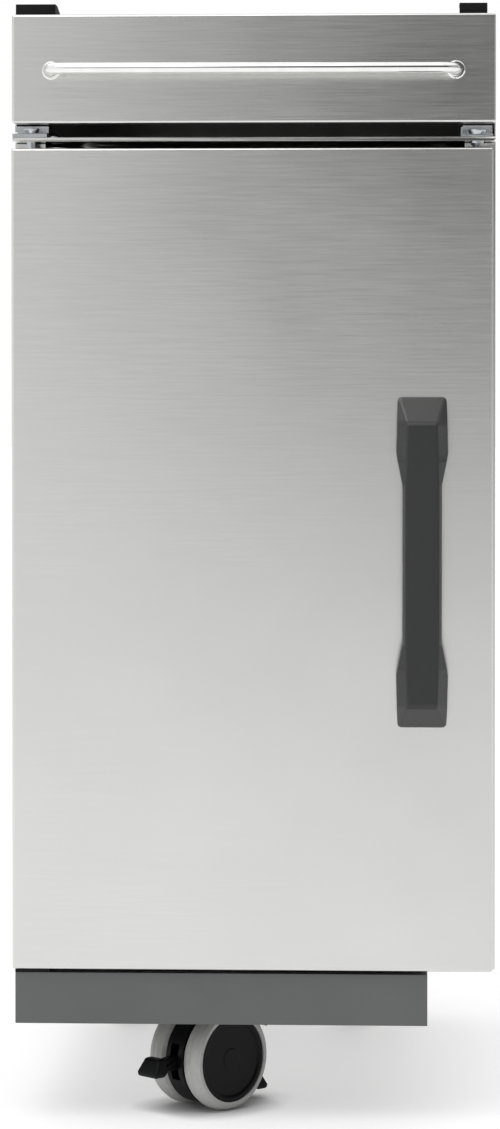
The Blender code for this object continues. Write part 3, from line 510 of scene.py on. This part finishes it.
def lofted(name, rings):
    """A closed skin over rings of points, grown from a filled circle by one extrusion for each ring."""
    alone()
    bpy.ops.mesh.primitive_circle_add(vertices=len(rings[0]), radius=0.01, fill_type="NGON")
    piece = begun(name)
    work = bmesh.from_edit_mesh(piece.data)
    for vertex, point in zip(work.verts, rings[0]):
        vertex.co = point
    bmesh.update_edit_mesh(piece.data)
    for last, ring in zip(rings, rings[1:]):
        bpy.ops.mesh.extrude_region()
        work = bmesh.from_edit_mesh(piece.data)
        for vertex in [v for v in work.verts if v.select]:
            gaps = [(vertex.co - Vector(point)).length_squared for point in last]
            vertex.co = ring[gaps.index(min(gaps))]
        bmesh.update_edit_mesh(piece.data)
    return closed_up(piece)


def spun(name, profile, steps, soften, ring=False):
    """A profile of radius and height turned round the Z axis, with its corners softened. A ring's closes."""
    if ring:
        profile = [*profile, profile[0]]
    alone()
    bpy.ops.mesh.primitive_plane_add(size=0.001)
    piece = begun(name)
    bpy.ops.mesh.merge(type="CENTER")
    work = bmesh.from_edit_mesh(piece.data)
    for vertex in work.verts:
        vertex.co = (profile[0][0], 0, profile[0][1])
    bmesh.update_edit_mesh(piece.data)
    for (radius, height), (next_radius, next_height) in zip(profile, profile[1:]):
        step = (next_radius - radius, 0, next_height - height)
        bpy.ops.mesh.extrude_vertices_move(TRANSFORM_OT_translate={"value": step})
    merged()
    choose(piece, "VERT", lambda vertex: len(vertex.link_edges) == 2)
    bpy.ops.mesh.bevel(offset=soften, segments=4, affect="VERTICES")
    bpy.ops.mesh.select_all(action="SELECT")
    bpy.ops.mesh.spin(steps=steps, angle=2 * pi, center=(0, 0, 0), axis=(0, 0, 1))
    return closed_up(piece)


def block(name, low, high):
    """A plain block between two corners, to cut or build with."""
    alone()
    low, high = Vector(low), Vector(high)
    bpy.ops.mesh.primitive_cube_add(size=1, location=(low + high) / 2, scale=high - low)
    return closed_up(begun(name))


def bore(piece, start, stop):
    """Cuts the running hole of a pin or an axle through a piece, between two points on its axis."""
    hardware = settings().hardware
    start, stop = Vector(start), Vector(stop)
    turn = (stop - start).to_track_quat("Z", "Y").to_euler()
    alone()
    bpy.ops.mesh.primitive_cylinder_add(
        vertices=48, radius=hardware.pin + hardware.pin_gap, depth=(stop - start).length,
        location=(start + stop) / 2, rotation=turn)
    return joined(piece, closed_up(begun("hole")), "DIFFERENCE")


def copied(piece, name, matrix):
    """A copy of a piece with its own mesh, moved by a matrix."""
    made = piece.copy()
    made.data = piece.data.copy()
    made.name = made.data.name = name
    made.data.transform(matrix)
    bpy.context.scene.collection.objects.link(made)
    return made


def facing(direction, spot, twist=0.0):
    """The matrix that stands a piece modelled along +Z in a direction at a spot."""
    turn = direction.to_track_quat("Z", "Y").to_matrix().to_4x4()
    return Matrix.Translation(spot) @ turn @ Matrix.Rotation(twist, 4, "Z")


def deliver(piece, body, slot, *nodes):
    """Smooths a finished piece, gives it its finish and its body, and hides the nodes it stands for."""
    alone(piece)
    bpy.ops.object.transform_apply(location=True, rotation=True, scale=True)
    bpy.ops.object.shade_smooth_by_angle(angle=SMOOTH_ANGLE)
    shaped(piece, "WEIGHTED_NORMAL", keep_sharp=True)
    piece.data.materials.clear()
    piece.data.materials.append(bpy.data.materials[slot])
    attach(piece, body)
    if nodes:
        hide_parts(*nodes)


def middle(node):
    """The middle of a node's box."""
    low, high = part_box(node)
    return (low + high) / 2


def joint_place(name):
    """Where a joint's axis passes."""
    return Vector(next(joint for joint in frame["joints"] if joint["name"] == name)["pos_m"])


class CABINET_OT_stage(bpy.types.Operator):
    """Adds the pale floor, the studio light and the camera"""

    bl_idname = "cabinet.stage"
    bl_label = "Stage"

    def execute(self, context):
        stage = settings().stage
        context.scene.view_settings.view_transform = "Standard"
        pale_floor(stage)
        studio_world(stage)
        soft_box(stage)
        aim_camera(stage)
        return {"FINISHED"}


def pale_floor(stage):
    """A large pale floor that stays bright in shade and still takes the cabinet's shadow."""
    alone()
    bpy.ops.mesh.primitive_plane_add(size=stage.floor_size)
    floor = bpy.context.active_object
    floor.name = "floor"
    tree = new_finish("pale_floor")
    tint = mottled(tree, lumps(tree, stage.floor_mottle, 2.0), stage.floor_colour, 0.98, 1.0)
    shader = put(tree, "BsdfPrincipled", {
        "Base Color": tint, "Roughness": 0.6, "Emission Color": (1, 1, 1, 1),
        "Emission Strength": floor_glow(stage, tree)})
    put(tree, "OutputMaterial", {"Surface": shader.outputs["BSDF"]})
    floor.data.materials.append(bpy.data.materials["pale_floor"])


def floor_glow(stage, tree):
    """The floor's own light, which an ambient-occlusion node dims where the front caster touches it: a painted
    contact shadow, gone behind the contact depth.
    """
    # Painted contact shadow: the glow darkens near a piece, only in front of the contact depth.
    contact = put(tree, "AmbientOcclusion", {"Distance": stage.contact_reach}, samples=16).outputs["AO"]
    depth = put(tree, "SeparateXYZ", {"Vector": put(tree, "TexCoord").outputs["Object"]}).outputs["Y"]
    behind = put(tree, "MapRange", {"Value": depth, "From Min": 0.0, "From Max": stage.contact_depth})
    shade = put(tree, "Math", {0: contact, 1: stage.contact_power}, operation="POWER")
    shade = put(tree, "Mix", {
        0: behind.outputs["Result"], 2: shade.outputs["Value"], 3: 1.0}, data_type="FLOAT").outputs[0]
    return put(tree, "Math", {0: shade, 1: stage.floor_glow}, operation="MULTIPLY").outputs["Value"]


def studio_world(stage):
    """A bright ceiling over walls that are pale round the cabinet and dark to the right behind the camera."""
    world = bpy.data.worlds.new("studio")
    bpy.context.scene.world = world
    world.use_nodes = True
    tree = world.node_tree
    tree.nodes.clear()
    heading = put(tree, "TexCoord").outputs["Generated"]
    axes = put(tree, "SeparateXYZ", {"Vector": heading}).outputs
    room = stage.wall_left
    for axis, (start, full), brightness, turn in (
            ("X", BEHIND_CAMERA, stage.wall_right, "SMOOTHSTEP"),
            ("X", FAR_LEFT, stage.wall_far_left, "LINEAR"),
            ("X", FAR_RIGHT, stage.wall_far_right, "LINEAR"),
            ("Y", BEYOND, stage.wall_far, "SMOOTHSTEP"),
            ("Z", OVERHEAD, stage.ceiling, "SMOOTHSTEP")):
        share = put(tree, "MapRange", {
            "Value": axes[axis], "From Min": start, "From Max": full}, interpolation_type=turn)
        room = put(tree, "Mix", {
            0: share.outputs["Result"], 2: room, 3: brightness}, data_type="FLOAT").outputs[0]
    seen = put(tree, "LightPath").outputs["Is Camera Ray"]
    strength = put(tree, "Mix", {0: seen, 2: room, 3: 1.0}, data_type="FLOAT").outputs[0]
    light = put(tree, "Background", {"Color": (1, 1, 1, 1), "Strength": strength})
    put(tree, "OutputWorld", {"Surface": light.outputs["Background"]})


def aimed(start, target):
    """The turn that points a lamp or a camera from one place at another."""
    return (Vector(target) - Vector(start)).to_track_quat("-Z", "Y").to_euler()


def soft_box(stage):
    """One large soft box, aimed at the cabinet's middle."""
    turn = aimed(stage.lamp_place, stage.lamp_target)
    bpy.ops.object.light_add(type="AREA", location=stage.lamp_place, rotation=turn)
    lamp = bpy.context.active_object
    lamp.name = "soft_box"
    lamp.data.size, lamp.data.energy = stage.lamp_side, stage.lamp_power


def aim_camera(stage):
    """The camera stands a little to the right, over half height, with a long lens."""
    turn = aimed(stage.camera_place, stage.camera_target)
    bpy.ops.object.camera_add(location=stage.camera_place, rotation=turn)
    camera = bpy.context.active_object
    camera.data.lens, camera.data.sensor_width = stage.lens, 36.0
    camera.data.shift_y = stage.camera_shift
    bpy.context.scene.camera = camera


class CABINET_OT_finishes(bpy.types.Operator):
    """Makes the finishes and gives them to the frame's own pieces"""

    bl_idname = "cabinet.finishes"
    bl_label = "Finishes"

    def execute(self, context):
        finish = settings().finish
        run, fine = finish.steel_grain, finish.steel_grain_height
        brushed_stainless("brushed_steel", (run, run, fine))
        brushed_stainless("brushed_steel_flat", (run, fine, run))
        plated_steel("polished_steel", finish.rod, rough=0.10, swing=0.03)
        plated_steel("zinc_plated_steel", finish.zinc, rough=0.30, swing=0.07)
        powder_coat("grey_powder_coat", finish.grey_coat, gloss=0.5, rough=0.47)
        powder_coat("black_powder_coat", finish.black_coat, gloss=0.2, rough=0.6)
        moulded_nylon("handle_plastic", finish.handle, gloss=0.45)
        moulded_nylon("black_plastic", finish.nylon, gloss=0.12)
        tread_rubber("tread_rubber", finish.tread)
        finishes = {part["node"]: part["material_slot"] for part in frame["record"]["subparts"]}
        for node in ("bottom_panel", "shelf", "top_front_rail", "top_rear_rail"):
            finishes[node] += "_flat"
        for name, slot in finishes.items():
            node = frame["nodes"][name]
            node.material_slots[0].material = bpy.data.materials[slot]
            if slot.startswith(("brushed_steel", "grey_powder_coat", "black_powder_coat")):
                soften_edges(node)
        # The gap over the base frame is dark with shade, so the hinge leaf that shows in it is given the black
        # coat in place of its zinc: painted shade.
        leaf = frame["nodes"]["bottom_hinge_bracket"]
        leaf.material_slots[0].material = bpy.data.materials["black_powder_coat"]
        return {"FINISHED"}


def soften_edges(node):
    """Rounds the edges of a plain folded sheet a little, so that they catch a line of light."""
    sheet = settings().sheet
    node.modifiers.new("weld", "WELD").merge_threshold = MERGE
    edge = node.modifiers.new("edge", "BEVEL")
    edge.width, edge.segments = sheet.edge, sheet.edge_steps
    edge.limit_method, edge.angle_limit = "ANGLE", radians(50)


class CABINET_OT_sheet_fronts(bpy.types.Operator):
    """Folds the door's outer skin, the drawer front, the divider and the base frame's side rails"""

    bl_idname = "cabinet.sheet_fronts"
    bl_label = "Sheet fronts"

    def execute(self, context):
        door = folded_front("door_outer_skin", "door_skin")
        pivot = joint_place("door_hinge")
        through = 4 * settings().sheet.wall * UP
        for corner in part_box("door_skin"):
            spot = Vector((pivot.x, pivot.y, corner.z))
            bore(door, spot - through, spot + through)
        deliver(door, "door", "brushed_steel", "door_skin")
        drawer = folded_front("drawer_outer_front", "drawer_front")
        deliver(drawer, "drawer", "brushed_steel", "drawer_front")
        deliver(divider_strip(), "cabinet", "polished_steel", "divider_rail")
        for side, outward in (("left", -1), ("right", 1)):
            node = "base_%s_rail" % side
            deliver(base_side("base_%s_side" % side, node, outward), "cabinet", "grey_powder_coat", node)
        return {"FINISHED"}


def folded_front(name, node):
    """A sheet with all four sides folded back, where its node is."""
    sheet = settings().sheet
    low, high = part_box(node)
    alone()
    bpy.ops.mesh.primitive_cube_add(size=1, location=(low + high) / 2, scale=high - low)
    piece = begun(name)
    choose(piece, "FACE", lambda face: face.normal.y > 0.9)
    bpy.ops.mesh.delete(type="FACE")
    choose(piece, "EDGE", lambda edge: not edge.is_boundary)
    bpy.ops.mesh.bevel(offset=sheet.fold, segments=sheet.fold_steps, affect="EDGES")
    closed_up(piece)
    return shaped(piece, "SOLIDIFY", thickness=sheet.wall, offset=-1, use_even_offset=True)


def divider_strip():
    """The rail between drawer and door, with its front rolled round so that it catches light from above."""
    piece = copied(frame["nodes"]["divider_rail"], "divider_strip", Matrix())
    alone(piece)
    bpy.ops.object.mode_set(mode="EDIT")
    merged()
    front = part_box("divider_rail")[0].y

    def along_front(edge):
        first, second = (vertex.co for vertex in edge.verts)
        return max(abs(first.y - front), abs(second.y - front), abs(first.z - second.z)) < MERGE

    choose(piece, "EDGE", along_front)
    bpy.ops.mesh.bevel(offset=settings().sheet.nose, segments=5, affect="EDGES")
    return closed_up(piece)


def base_side(name, node, outward):
    """A side rail of the base frame. Its web is whole, and its lip is notched for the cross rails' lips."""
    sheet = settings().sheet
    wall = sheet.coated
    low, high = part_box(node)
    web_low, web_high, notch_low, notch_high = low.copy(), high.copy(), low.copy(), high.copy()
    if outward < 0:
        web_high.x = notch_low.x = low.x + wall
        notch_high.x = high.x + wall
    else:
        web_low.x = notch_high.x = high.x - wall
        notch_low.x = low.x - wall
    piece = block(name, web_low, web_high)
    joined(piece, block("lip", (low.x, low.y, high.z - wall), high), "UNION")
    notch_low.z, notch_high.z = high.z - 2 * wall, high.z + wall
    for y in (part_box("base_front_rail")[1].y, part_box("base_rear_rail")[0].y):
        notch_low.y, notch_high.y = y - 2 * wall, y + 2 * wall
        joined(piece, block("notch", notch_low, notch_high), "DIFFERENCE")
    return rounded(piece, sheet.edge, sheet.edge_steps, 50)


class CABINET_OT_door_handle(bpy.types.Operator):
    """Moulds the door handle"""

    bl_idname = "cabinet.door_handle"
    bl_label = "Door handle"

    def execute(self, context):
        handle = settings().handle
        low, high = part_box("door_handle")
        centre = middle("door_handle")
        rings = []
        stations = handle_stations(handle, high.z - centre.z, high.x - low.x, high.y - low.y)
        for z, width, face, front, back in stations + [(-z, *rest) for z, *rest in stations[::-1]]:
            shoulder = back + (front - back) * handle.shoulder
            half = [(width / 2, back), (width / 2, shoulder), (face / 2, front)]
            section = [(-x, y) for x, y in half] + [(x, y) for x, y in half[::-1]]
            rings.append([(centre.x + x, high.y - y, centre.z + z) for x, y in section])
        piece = rounded(lofted("door_pull_handle", rings), handle.rounding, steps=4, angle=12)
        deliver(piece, "door", "handle_plastic", "door_handle")
        return {"FINISHED"}


def handle_stations(handle, end, width, reach):
    """Sections of half the handle: height over its middle, width, face width, and front and back."""
    brow, foot = end - handle.slope, end - handle.foot
    neck, tip = foot - handle.neck, width - handle.end_narrow
    corner, lip = 2 * handle.end_corner, 2 * handle.end_lip
    brow_width, foot_face = (tip + width) / 2, (handle.face + handle.grip_face) / 2
    return [
        (end, tip - corner, tip - corner - lip, handle.end_depth, 0),
        (end - handle.end_corner, tip, tip - lip, handle.end_depth + corner, 0),
        (brow, brow_width, handle.face, handle.brow_depth, 0),
        (brow - handle.brow, brow_width, handle.face, reach, 0),
        (foot, width, foot_face, reach, 0),
        (neck, handle.neck_width, foot_face, reach, handle.neck_gap),
        (neck - handle.taper, handle.grip, handle.grip_face, reach, handle.finger_gap)]


class CABINET_OT_drawer_bar(bpy.types.Operator):
    """Bends the drawer's rod handle and turns its two ferrules"""

    bl_idname = "cabinet.drawer_bar"
    bl_label = "Drawer bar"

    def execute(self, context):
        deliver(bent_rod(settings().bar), "drawer", "polished_steel", "drawer_handle")
        ring = ferrule(settings().bar)
        for side in ("left", "right"):
            node = side + "_handle_ferrule"
            seat = middle(node)
            seat.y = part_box(node)[1].y
            made = copied(ring, side + "_rod_ferrule", facing(OUT_OF_FRONT, seat))
            deliver(made, "drawer", "polished_steel", node)
        bpy.data.objects.remove(ring)
        return {"FINISHED"}


def ferrule(bar):
    """A turned collar round the rod's foot, straight at the drawer front and chamfered towards the bar."""
    rod_low, rod_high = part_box("drawer_handle")
    low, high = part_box("left_handle_ferrule")
    hole = (rod_high.z - rod_low.z) / 2 + settings().hardware.pin_gap
    outer, thick = (high.z - low.z) / 2, high.y - low.y
    collar = FERRULE_COLLAR * thick
    profile = [(hole, 0), (outer, 0), (outer, collar), (outer - thick + collar, thick), (hole, thick)]
    return spun("ferrule", profile, 48, bar.ferrule_lip, ring=True)


def bent_rod(bar):
    """A round rod that leaves the drawer front, turns along it and comes back."""
    low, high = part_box("drawer_handle")
    radius, height = (high.z - low.z) / 2, (low.z + high.z) / 2
    near, out = high.x - radius - bar.bend, low.y + radius + bar.bend
    quarter = []
    for step in range(bar.bend_steps + 1):
        turn = 0.5 * pi * step / bar.bend_steps
        quarter.append((near + bar.bend * cos(turn), out - bar.bend * sin(turn), turn))
    path = [(high.x - radius, high.y, 0.0), *quarter]
    path += [(low.x + high.x - x, y, pi - turn) for x, y, turn in path[::-1]]
    angles = [2 * pi * side / bar.sides for side in range(bar.sides)]
    rings = []
    for x, y, turn in path:
        across = [(radius * cos(angle), radius * sin(angle)) for angle in angles]
        rings.append([(x + off * cos(turn), y - off * sin(turn), height + rise) for off, rise in across])
    return lofted("drawer_rod", rings)


class CABINET_OT_hinge_and_catch(bpy.types.Operator):
    """Turns the upper hinge's pin and the catch's stud, and folds the upstands of their leaves"""

    bl_idname = "cabinet.hinge_and_catch"
    bl_label = "Hinge and catch"

    def execute(self, context):
        hardware = settings().hardware
        hinge_pin = headed_pin("hinge_pin", "top_hinge_pin", hardware.pin, hardware.pin_nose)
        catch_stud = headed_pin("catch_stud", "catch_pin", hardware.stud, hardware.stud_nose)
        deliver(hinge_pin, "cabinet", "zinc_plated_steel", "top_hinge_pin")
        deliver(catch_stud, "cabinet", "zinc_plated_steel", "catch_pin")
        for name, node, thick, inset in (
                ("hinge_upstand", "top_hinge_bracket", hardware.hinge_leaf, 0.0),
                ("catch_upstand", "catch_bracket", hardware.catch_leaf, hardware.upstand_wall)):
            deliver(upstand(name, node, thick, inset), "cabinet", "zinc_plated_steel")
        return {"FINISHED"}


def upstand(name, node, thick, inset):
    """The turned-up rear edge of a hinge or catch leaf, with a round inner corner."""
    hardware = settings().hardware
    low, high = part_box(node)
    wall, bend, edge = hardware.upstand_wall, hardware.upstand_bend, hardware.upstand_in
    back, foot, tip = high.y, low.z + thick, low.z + hardware.upstand
    corner = round_points((back - wall - bend, foot + bend), bend, 0, -90, 4)
    profile = [(back, foot), (back, tip), (back - wall, tip), *corner]
    rings = [[(x, y, z) for y, z in profile] for x in (low.x + inset + edge, high.x - edge)]
    return rounded(lofted(name, rings), edge, steps=2, angle=50)


def headed_pin(name, node, shank, nose):
    """A turned pin where its node is: a flared head, dished on top, over a shank with a chamfered foot."""
    hardware = settings().hardware
    low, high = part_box(node)
    head, tall = (high.x - low.x) / 2, high.z - low.z
    lip, rim, step = tall - hardware.head_dish, head - hardware.head_rim, hardware.head_step
    collar = tall - hardware.head_flare
    profile = [
        (0, lip), (rim - step, lip), (rim, tall), (head, tall), (head, lip), (shank + step, collar),
        (shank, collar), (shank, nose), (shank - nose, 0), (0, 0)]
    piece = spun(name, profile, 48, 0.00025)
    spot = middle(node)
    spot.z = low.z
    piece.data.transform(Matrix.Translation(spot))
    return piece


class CABINET_OT_wheels(bpy.types.Operator):
    """Turns the tread and hub of a caster wheel and fits them to all six wheels"""

    bl_idname = "cabinet.wheels"
    bl_label = "Wheels"

    def execute(self, context):
        wheel = settings().wheel
        tread = wheel_tread(wheel, joint_place("front_caster_wheel_a_roll").z)
        hub = wheel_hub(wheel)
        parts = ((tread, "_tread", "tread_rubber", "_tyre"), (hub, "_hub_cap", "black_plastic", "_hub"))
        for body in [prefix + side for prefix in CASTERS for side in ("_wheel_a", "_wheel_b")]:
            centre = middle(body + "_tyre")
            matrix = facing((centre - joint_place(body + "_roll")).normalized(), centre)
            for master, ending, slot, node in parts:
                deliver(copied(master, body + ending, matrix), body, slot, body + node)
        bpy.data.objects.remove(tread)
        bpy.data.objects.remove(hub)
        return {"FINISHED"}


def wheel_tread(wheel, radius):
    """The soft tread ring, with round shoulders and two faint moulding seams."""
    half, low, seam = wheel.half, radius - wheel.seam, wheel.half - wheel.seam_in
    outer_half = [
        (wheel.inner, half), (radius - wheel.edge, half), (radius - wheel.shoulder, half - wheel.shoulder_in),
        (low, seam + wheel.seam_half), (radius, seam), (low, seam - wheel.seam_half), (low, 0.0)]
    profile = outer_half + [(r, -h) for r, h in outer_half[-2::-1]]
    return spun("tread", profile, wheel.steps, wheel.tread_lip, ring=True)


def wheel_hub(wheel):
    """The hub: a dished face in a raised rim, closed at the outside and bored for the axle inside."""
    hardware = settings().hardware
    half, rim, hole = wheel.half, wheel.inner - wheel.hub_gap, hardware.pin + hardware.pin_gap
    dish, lip, inner = half - wheel.recess, half - wheel.rim_in, wheel.back - half
    face, disc = rim - wheel.rim, dish + wheel.boss_rise
    profile = [
        (0, disc), (wheel.boss, disc), (wheel.boss + wheel.boss_slope, dish), (face - wheel.rim_slope, dish),
        (face, lip), (rim, lip), (rim, inner), (hole, inner), (hole, wheel.seat), (0, wheel.seat)]
    return spun("hub", profile, wheel.steps, wheel.tread_lip)


class CABINET_OT_caster_bodies(bpy.types.Operator):
    """Moulds the swivel bodies of the casters"""

    bl_idname = "cabinet.caster_bodies"
    bl_label = "Caster bodies"

    def execute(self, context):
        caster = settings().caster
        for prefix in CASTERS:
            body = caster_body(caster, prefix)
            deliver(body, prefix + "_swivel", "black_plastic", prefix + "_housing")
        return {"FINISHED"}


def caster_frame(prefix):
    """A caster's own frame: how far the axle trails the stem, and the matrix that puts the stem at the origin
    and the wheels behind it along +X."""
    stem, axle = joint_place(prefix + "_swivel"), joint_place(prefix + "_wheel_a_roll")
    trail = Vector((axle.x - stem.x, axle.y - stem.y))
    turn = Matrix.Rotation(atan2(trail.y, trail.x), 4, "Z")
    return trail.length, Matrix.Translation((stem.x, stem.y, 0)) @ turn


def round_points(centre, radius, start, stop, steps):
    """Points along an arc in degrees, in an upright plane."""
    turns = [radians(start + (stop - start) * step / steps) for step in range(steps + 1)]
    return [(centre[0] + radius * cos(turn), centre[1] + radius * sin(turn)) for turn in turns]


def plate_of(name, outline, width, rounding):
    """A flat outline in the caster's upright plane, given a width across it and rounded edges."""
    rings = [[(x, side * width / 2, z) for x, z in outline] for side in (1, -1)]
    return rounded(lofted(name, rings), rounding, steps=3, angle=50)


def caster_body(caster, prefix):
    """The swivel body: a cheek disc between the wheels, the stem over it and a hood across both wheels."""
    trail, matrix = caster_frame(prefix)
    height = joint_place(prefix + "_wheel_a_roll").z
    axle, reach = (trail, height), caster.body_width
    stem_top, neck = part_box(prefix + "_housing")[1].z, caster.neck / 2
    shoulder = stem_top - caster.stem_rise
    cheek = [(-neck, shoulder), *round_points(axle, caster.cheek, *CHEEK_ARC), (neck, shoulder)]
    body = plate_of(prefix + "_body", cheek, caster.body_width, caster.rounding)
    joined(body, wheel_hood(caster, prefix, axle), "UNION")
    root = shoulder - caster.stem_root
    profile = [(0, stem_top), (caster.stem, stem_top), (caster.stem, root), (0, root)]
    joined(body, spun("stem", profile, 64, 0.0008), "UNION")
    bore(body, (trail, -reach, height), (trail, reach, height))
    if prefix == "front_caster":
        half, reach = caster.arm / 2 + 2 * settings().hardware.pin_gap, caster.pedal_reach
        for ahead, down, up in ((reach, caster.slot_down, caster.slot_up), (0, caster.release_slot, 0)):
            low, high = (trail - reach, -half, height - down), (trail + ahead, half, height + up)
            joined(body, block("rocker_slot", low, high), "DIFFERENCE")
    body.data.transform(matrix)
    return body


def wheel_hood(caster, prefix, axle):
    """The bent guard over a caster's two wheels."""
    start, stop, steps = HOOD_ARC
    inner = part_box(prefix + "_wheel_a_tyre")[1].z / 2 + caster.hood_gap
    under = round_points(axle, inner, start, stop, steps)
    over = round_points(axle, inner + caster.hood, stop, start, steps)
    return plate_of("hood", under + over, caster.hood_width, caster.hood_lip)


class CABINET_OT_brake_rocker(bpy.types.Operator):
    """Moulds the front caster's brake rocker"""

    bl_idname = "cabinet.brake_rocker"
    bl_label = "Brake rocker"

    def execute(self, context):
        caster = settings().caster
        pedal = (caster.pedal_reach, -caster.pedal_drop)
        release = (-caster.release_reach, -caster.release_drop)
        half = caster.arm_half
        outline = [
            (pedal[0], pedal[1] + half), *round_points((0, 0), caster.arm_boss, *BOSS_TOP),
            (release[0], release[1] + half), (release[0], release[1] - half),
            *round_points((0, 0), caster.arm_boss, *BOSS_FOOT), (pedal[0], pedal[1] - half)]
        arm = plate_of("brake_pedal_rocker", outline, caster.arm, caster.arm_rounding)
        for name, centre, sign in (("pedal", pedal, 1), ("release", release, -1)):
            joined(arm, pedal_pad(name, caster, centre, sign), "UNION")
        rib = [(behind / 1000, over / 1000) for behind, over in RIB]
        joined(arm, plate_of("rib", rib, caster.arm + caster.rib_proud, caster.rib_rounding), "UNION")
        bore(arm, (0, -caster.body_width, 0), (0, caster.body_width, 0))
        trail, matrix = caster_frame("front_caster")
        arm.data.transform(matrix @ Matrix.Translation((trail, 0, joint_place("brake_rock").z)))
        deliver(arm, "brake", "black_plastic", "brake_rocker")
        return {"FINISHED"}


def pedal_pad(name, caster, centre, sign):
    """A wedge with round corners: its foot reaches out past its top, and it narrows towards the top."""
    half_length, half_width, half_thick = caster.pad_length / 2, caster.pad_width / 2, caster.pad_thick / 2
    rings = []
    for up, inner, outer, wide in PEDAL_LEVELS:
        z, y = centre[1] + up * half_thick, wide * half_width
        near, far = centre[0] + sign * inner * half_length, centre[0] + sign * outer * half_length
        rings.append([(near, -y, z), (far, -y, z), (far, y, z), (near, y, z)])
    return rounded(lofted(name, rings), caster.pad_rounding, steps=4, angle=40)


class CABINET_OT_fasteners(bpy.types.Operator):
    """Fits the caster bolts and the pan-head screws"""

    bl_idname = "cabinet.fasteners"
    bl_label = "Fasteners"

    def execute(self, context):
        hardware = settings().hardware
        bolt, screw = hex_bolt(hardware), pan_screw(hardware)
        for prefix in CASTERS:
            centre = middle(prefix + "_plate")
            centre.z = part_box(prefix + "_plate")[0].z
            for number, (x, y) in enumerate(CORNERS, 1):
                spot = centre + hardware.bolt_pitch * Vector((x, y, 0))
                made = copied(bolt, "%s_bolt_%d" % (prefix, number), facing(-UP, spot, number))
                deliver(made, "cabinet", "zinc_plated_steel")
        for name, body, spot, direction in screw_places(hardware):
            made = copied(screw, name, facing(direction, spot, SCREW_TURN * spot.x))
            deliver(made, body, "zinc_plated_steel")
        bpy.data.objects.remove(bolt)
        bpy.data.objects.remove(screw)
        return {"FINISHED"}


def screw_places(hardware):
    """Where the pan-head screws sit: name, body, place and the way the head looks."""
    places = []
    low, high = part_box("back_panel")
    for row, z in (("lower", low.z + hardware.back_screw), ("upper", high.z - hardware.back_screw)):
        for number, share in enumerate(BACK_SCREWS, 1):
            spot = Vector((low.x + share * (high.x - low.x), high.y, z))
            places.append(("%s_back_screw_%d" % (row, number), "cabinet", spot, -OUT_OF_FRONT))
    low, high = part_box("door_handle")
    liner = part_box("door_liner")[1].y
    for row, z in (("lower", low.z + hardware.handle_screw), ("upper", high.z - hardware.handle_screw)):
        spot = Vector(((low.x + high.x) / 2, liner, z))
        places.append((row + "_handle_screw", "door", spot, -OUT_OF_FRONT))
    low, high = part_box("top_hinge_bracket")
    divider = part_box("divider_rail")[1].z
    spot = Vector((high.x + hardware.hinge_screw, low.y + hardware.hinge_screw_in, divider))
    places.append(("hinge_screw", "cabinet", spot, UP))
    return places


def hex_bolt(hardware):
    """A hexagon head with a washer face, which stands on its shank's axis."""
    radius, rise = hardware.bolt_flats / cos(pi / 6), hardware.washer_rise
    sides = [2 * pi * side / 6 for side in range(6)]
    heights = (rise - hardware.washer_in, hardware.bolt_height)
    rings = [[(radius * cos(turn), radius * sin(turn), z) for turn in sides] for z in heights]
    head = rounded(lofted("hex_bolt", rings), 0.0004, steps=2, angle=40)
    profile = [(0, rise), (hardware.washer, rise), (hardware.washer, 0), (0, 0)]
    return joined(head, spun("washer", profile, 40, 0.00015), "UNION")


def pan_screw(hardware):
    """A pan-head screw with a cross recess."""
    height, span, half = hardware.screw_height, hardware.recess, hardware.recess_half
    profile = [(share * hardware.screw, rise * height) for share, rise in PAN_HEAD]
    head = spun("pan_screw", profile, 32, 0.0001)
    for x, y in ((span, half), (half, span)):
        joined(head, block("recess", (-x, -y, 0.35 * height), (x, y, 2 * height)), "DIFFERENCE")
    return head


class CABINET_PT_panel(bpy.types.Panel):
    """Lists the cabinet's steps in the sidebar"""

    bl_idname = "CABINET_PT_panel"
    bl_label = "Grill Cabinet"
    bl_space_type = "VIEW_3D"
    bl_region_type = "UI"
    bl_category = "Grill Cabinet"

    def draw(self, context):
        for operator in OPERATORS:
            self.layout.operator(operator.bl_idname)


OPERATORS = (
    CABINET_OT_stage, CABINET_OT_finishes, CABINET_OT_sheet_fronts, CABINET_OT_door_handle,
    CABINET_OT_drawer_bar, CABINET_OT_hinge_and_catch, CABINET_OT_wheels, CABINET_OT_caster_bodies,
    CABINET_OT_brake_rocker, CABINET_OT_fasteners)
GROUPS = (
    StageSettings, FinishSettings, SheetSettings, HandleSettings, BarSettings, WheelSettings, CasterSettings,
    HardwareSettings, CabinetSettings)


def register():
    """Registers the settings, the steps and the panel."""
    for kind in (*GROUPS, *OPERATORS, CABINET_PT_panel):
        bpy.utils.register_class(kind)
    bpy.types.Scene.grill_cabinet = PointerProperty(type=CabinetSettings)


def unregister():
    """Takes them away again."""
    del bpy.types.Scene.grill_cabinet
    for kind in (CABINET_PT_panel, *OPERATORS[::-1], *GROUPS[::-1]):
        bpy.utils.unregister_class(kind)


def main():
    """Runs every step in order."""
    register()
    for operator in OPERATORS:
        group, name = operator.bl_idname.split(".")
        getattr(getattr(bpy.ops, group), name)()


if __name__ == "__main__":
    main()
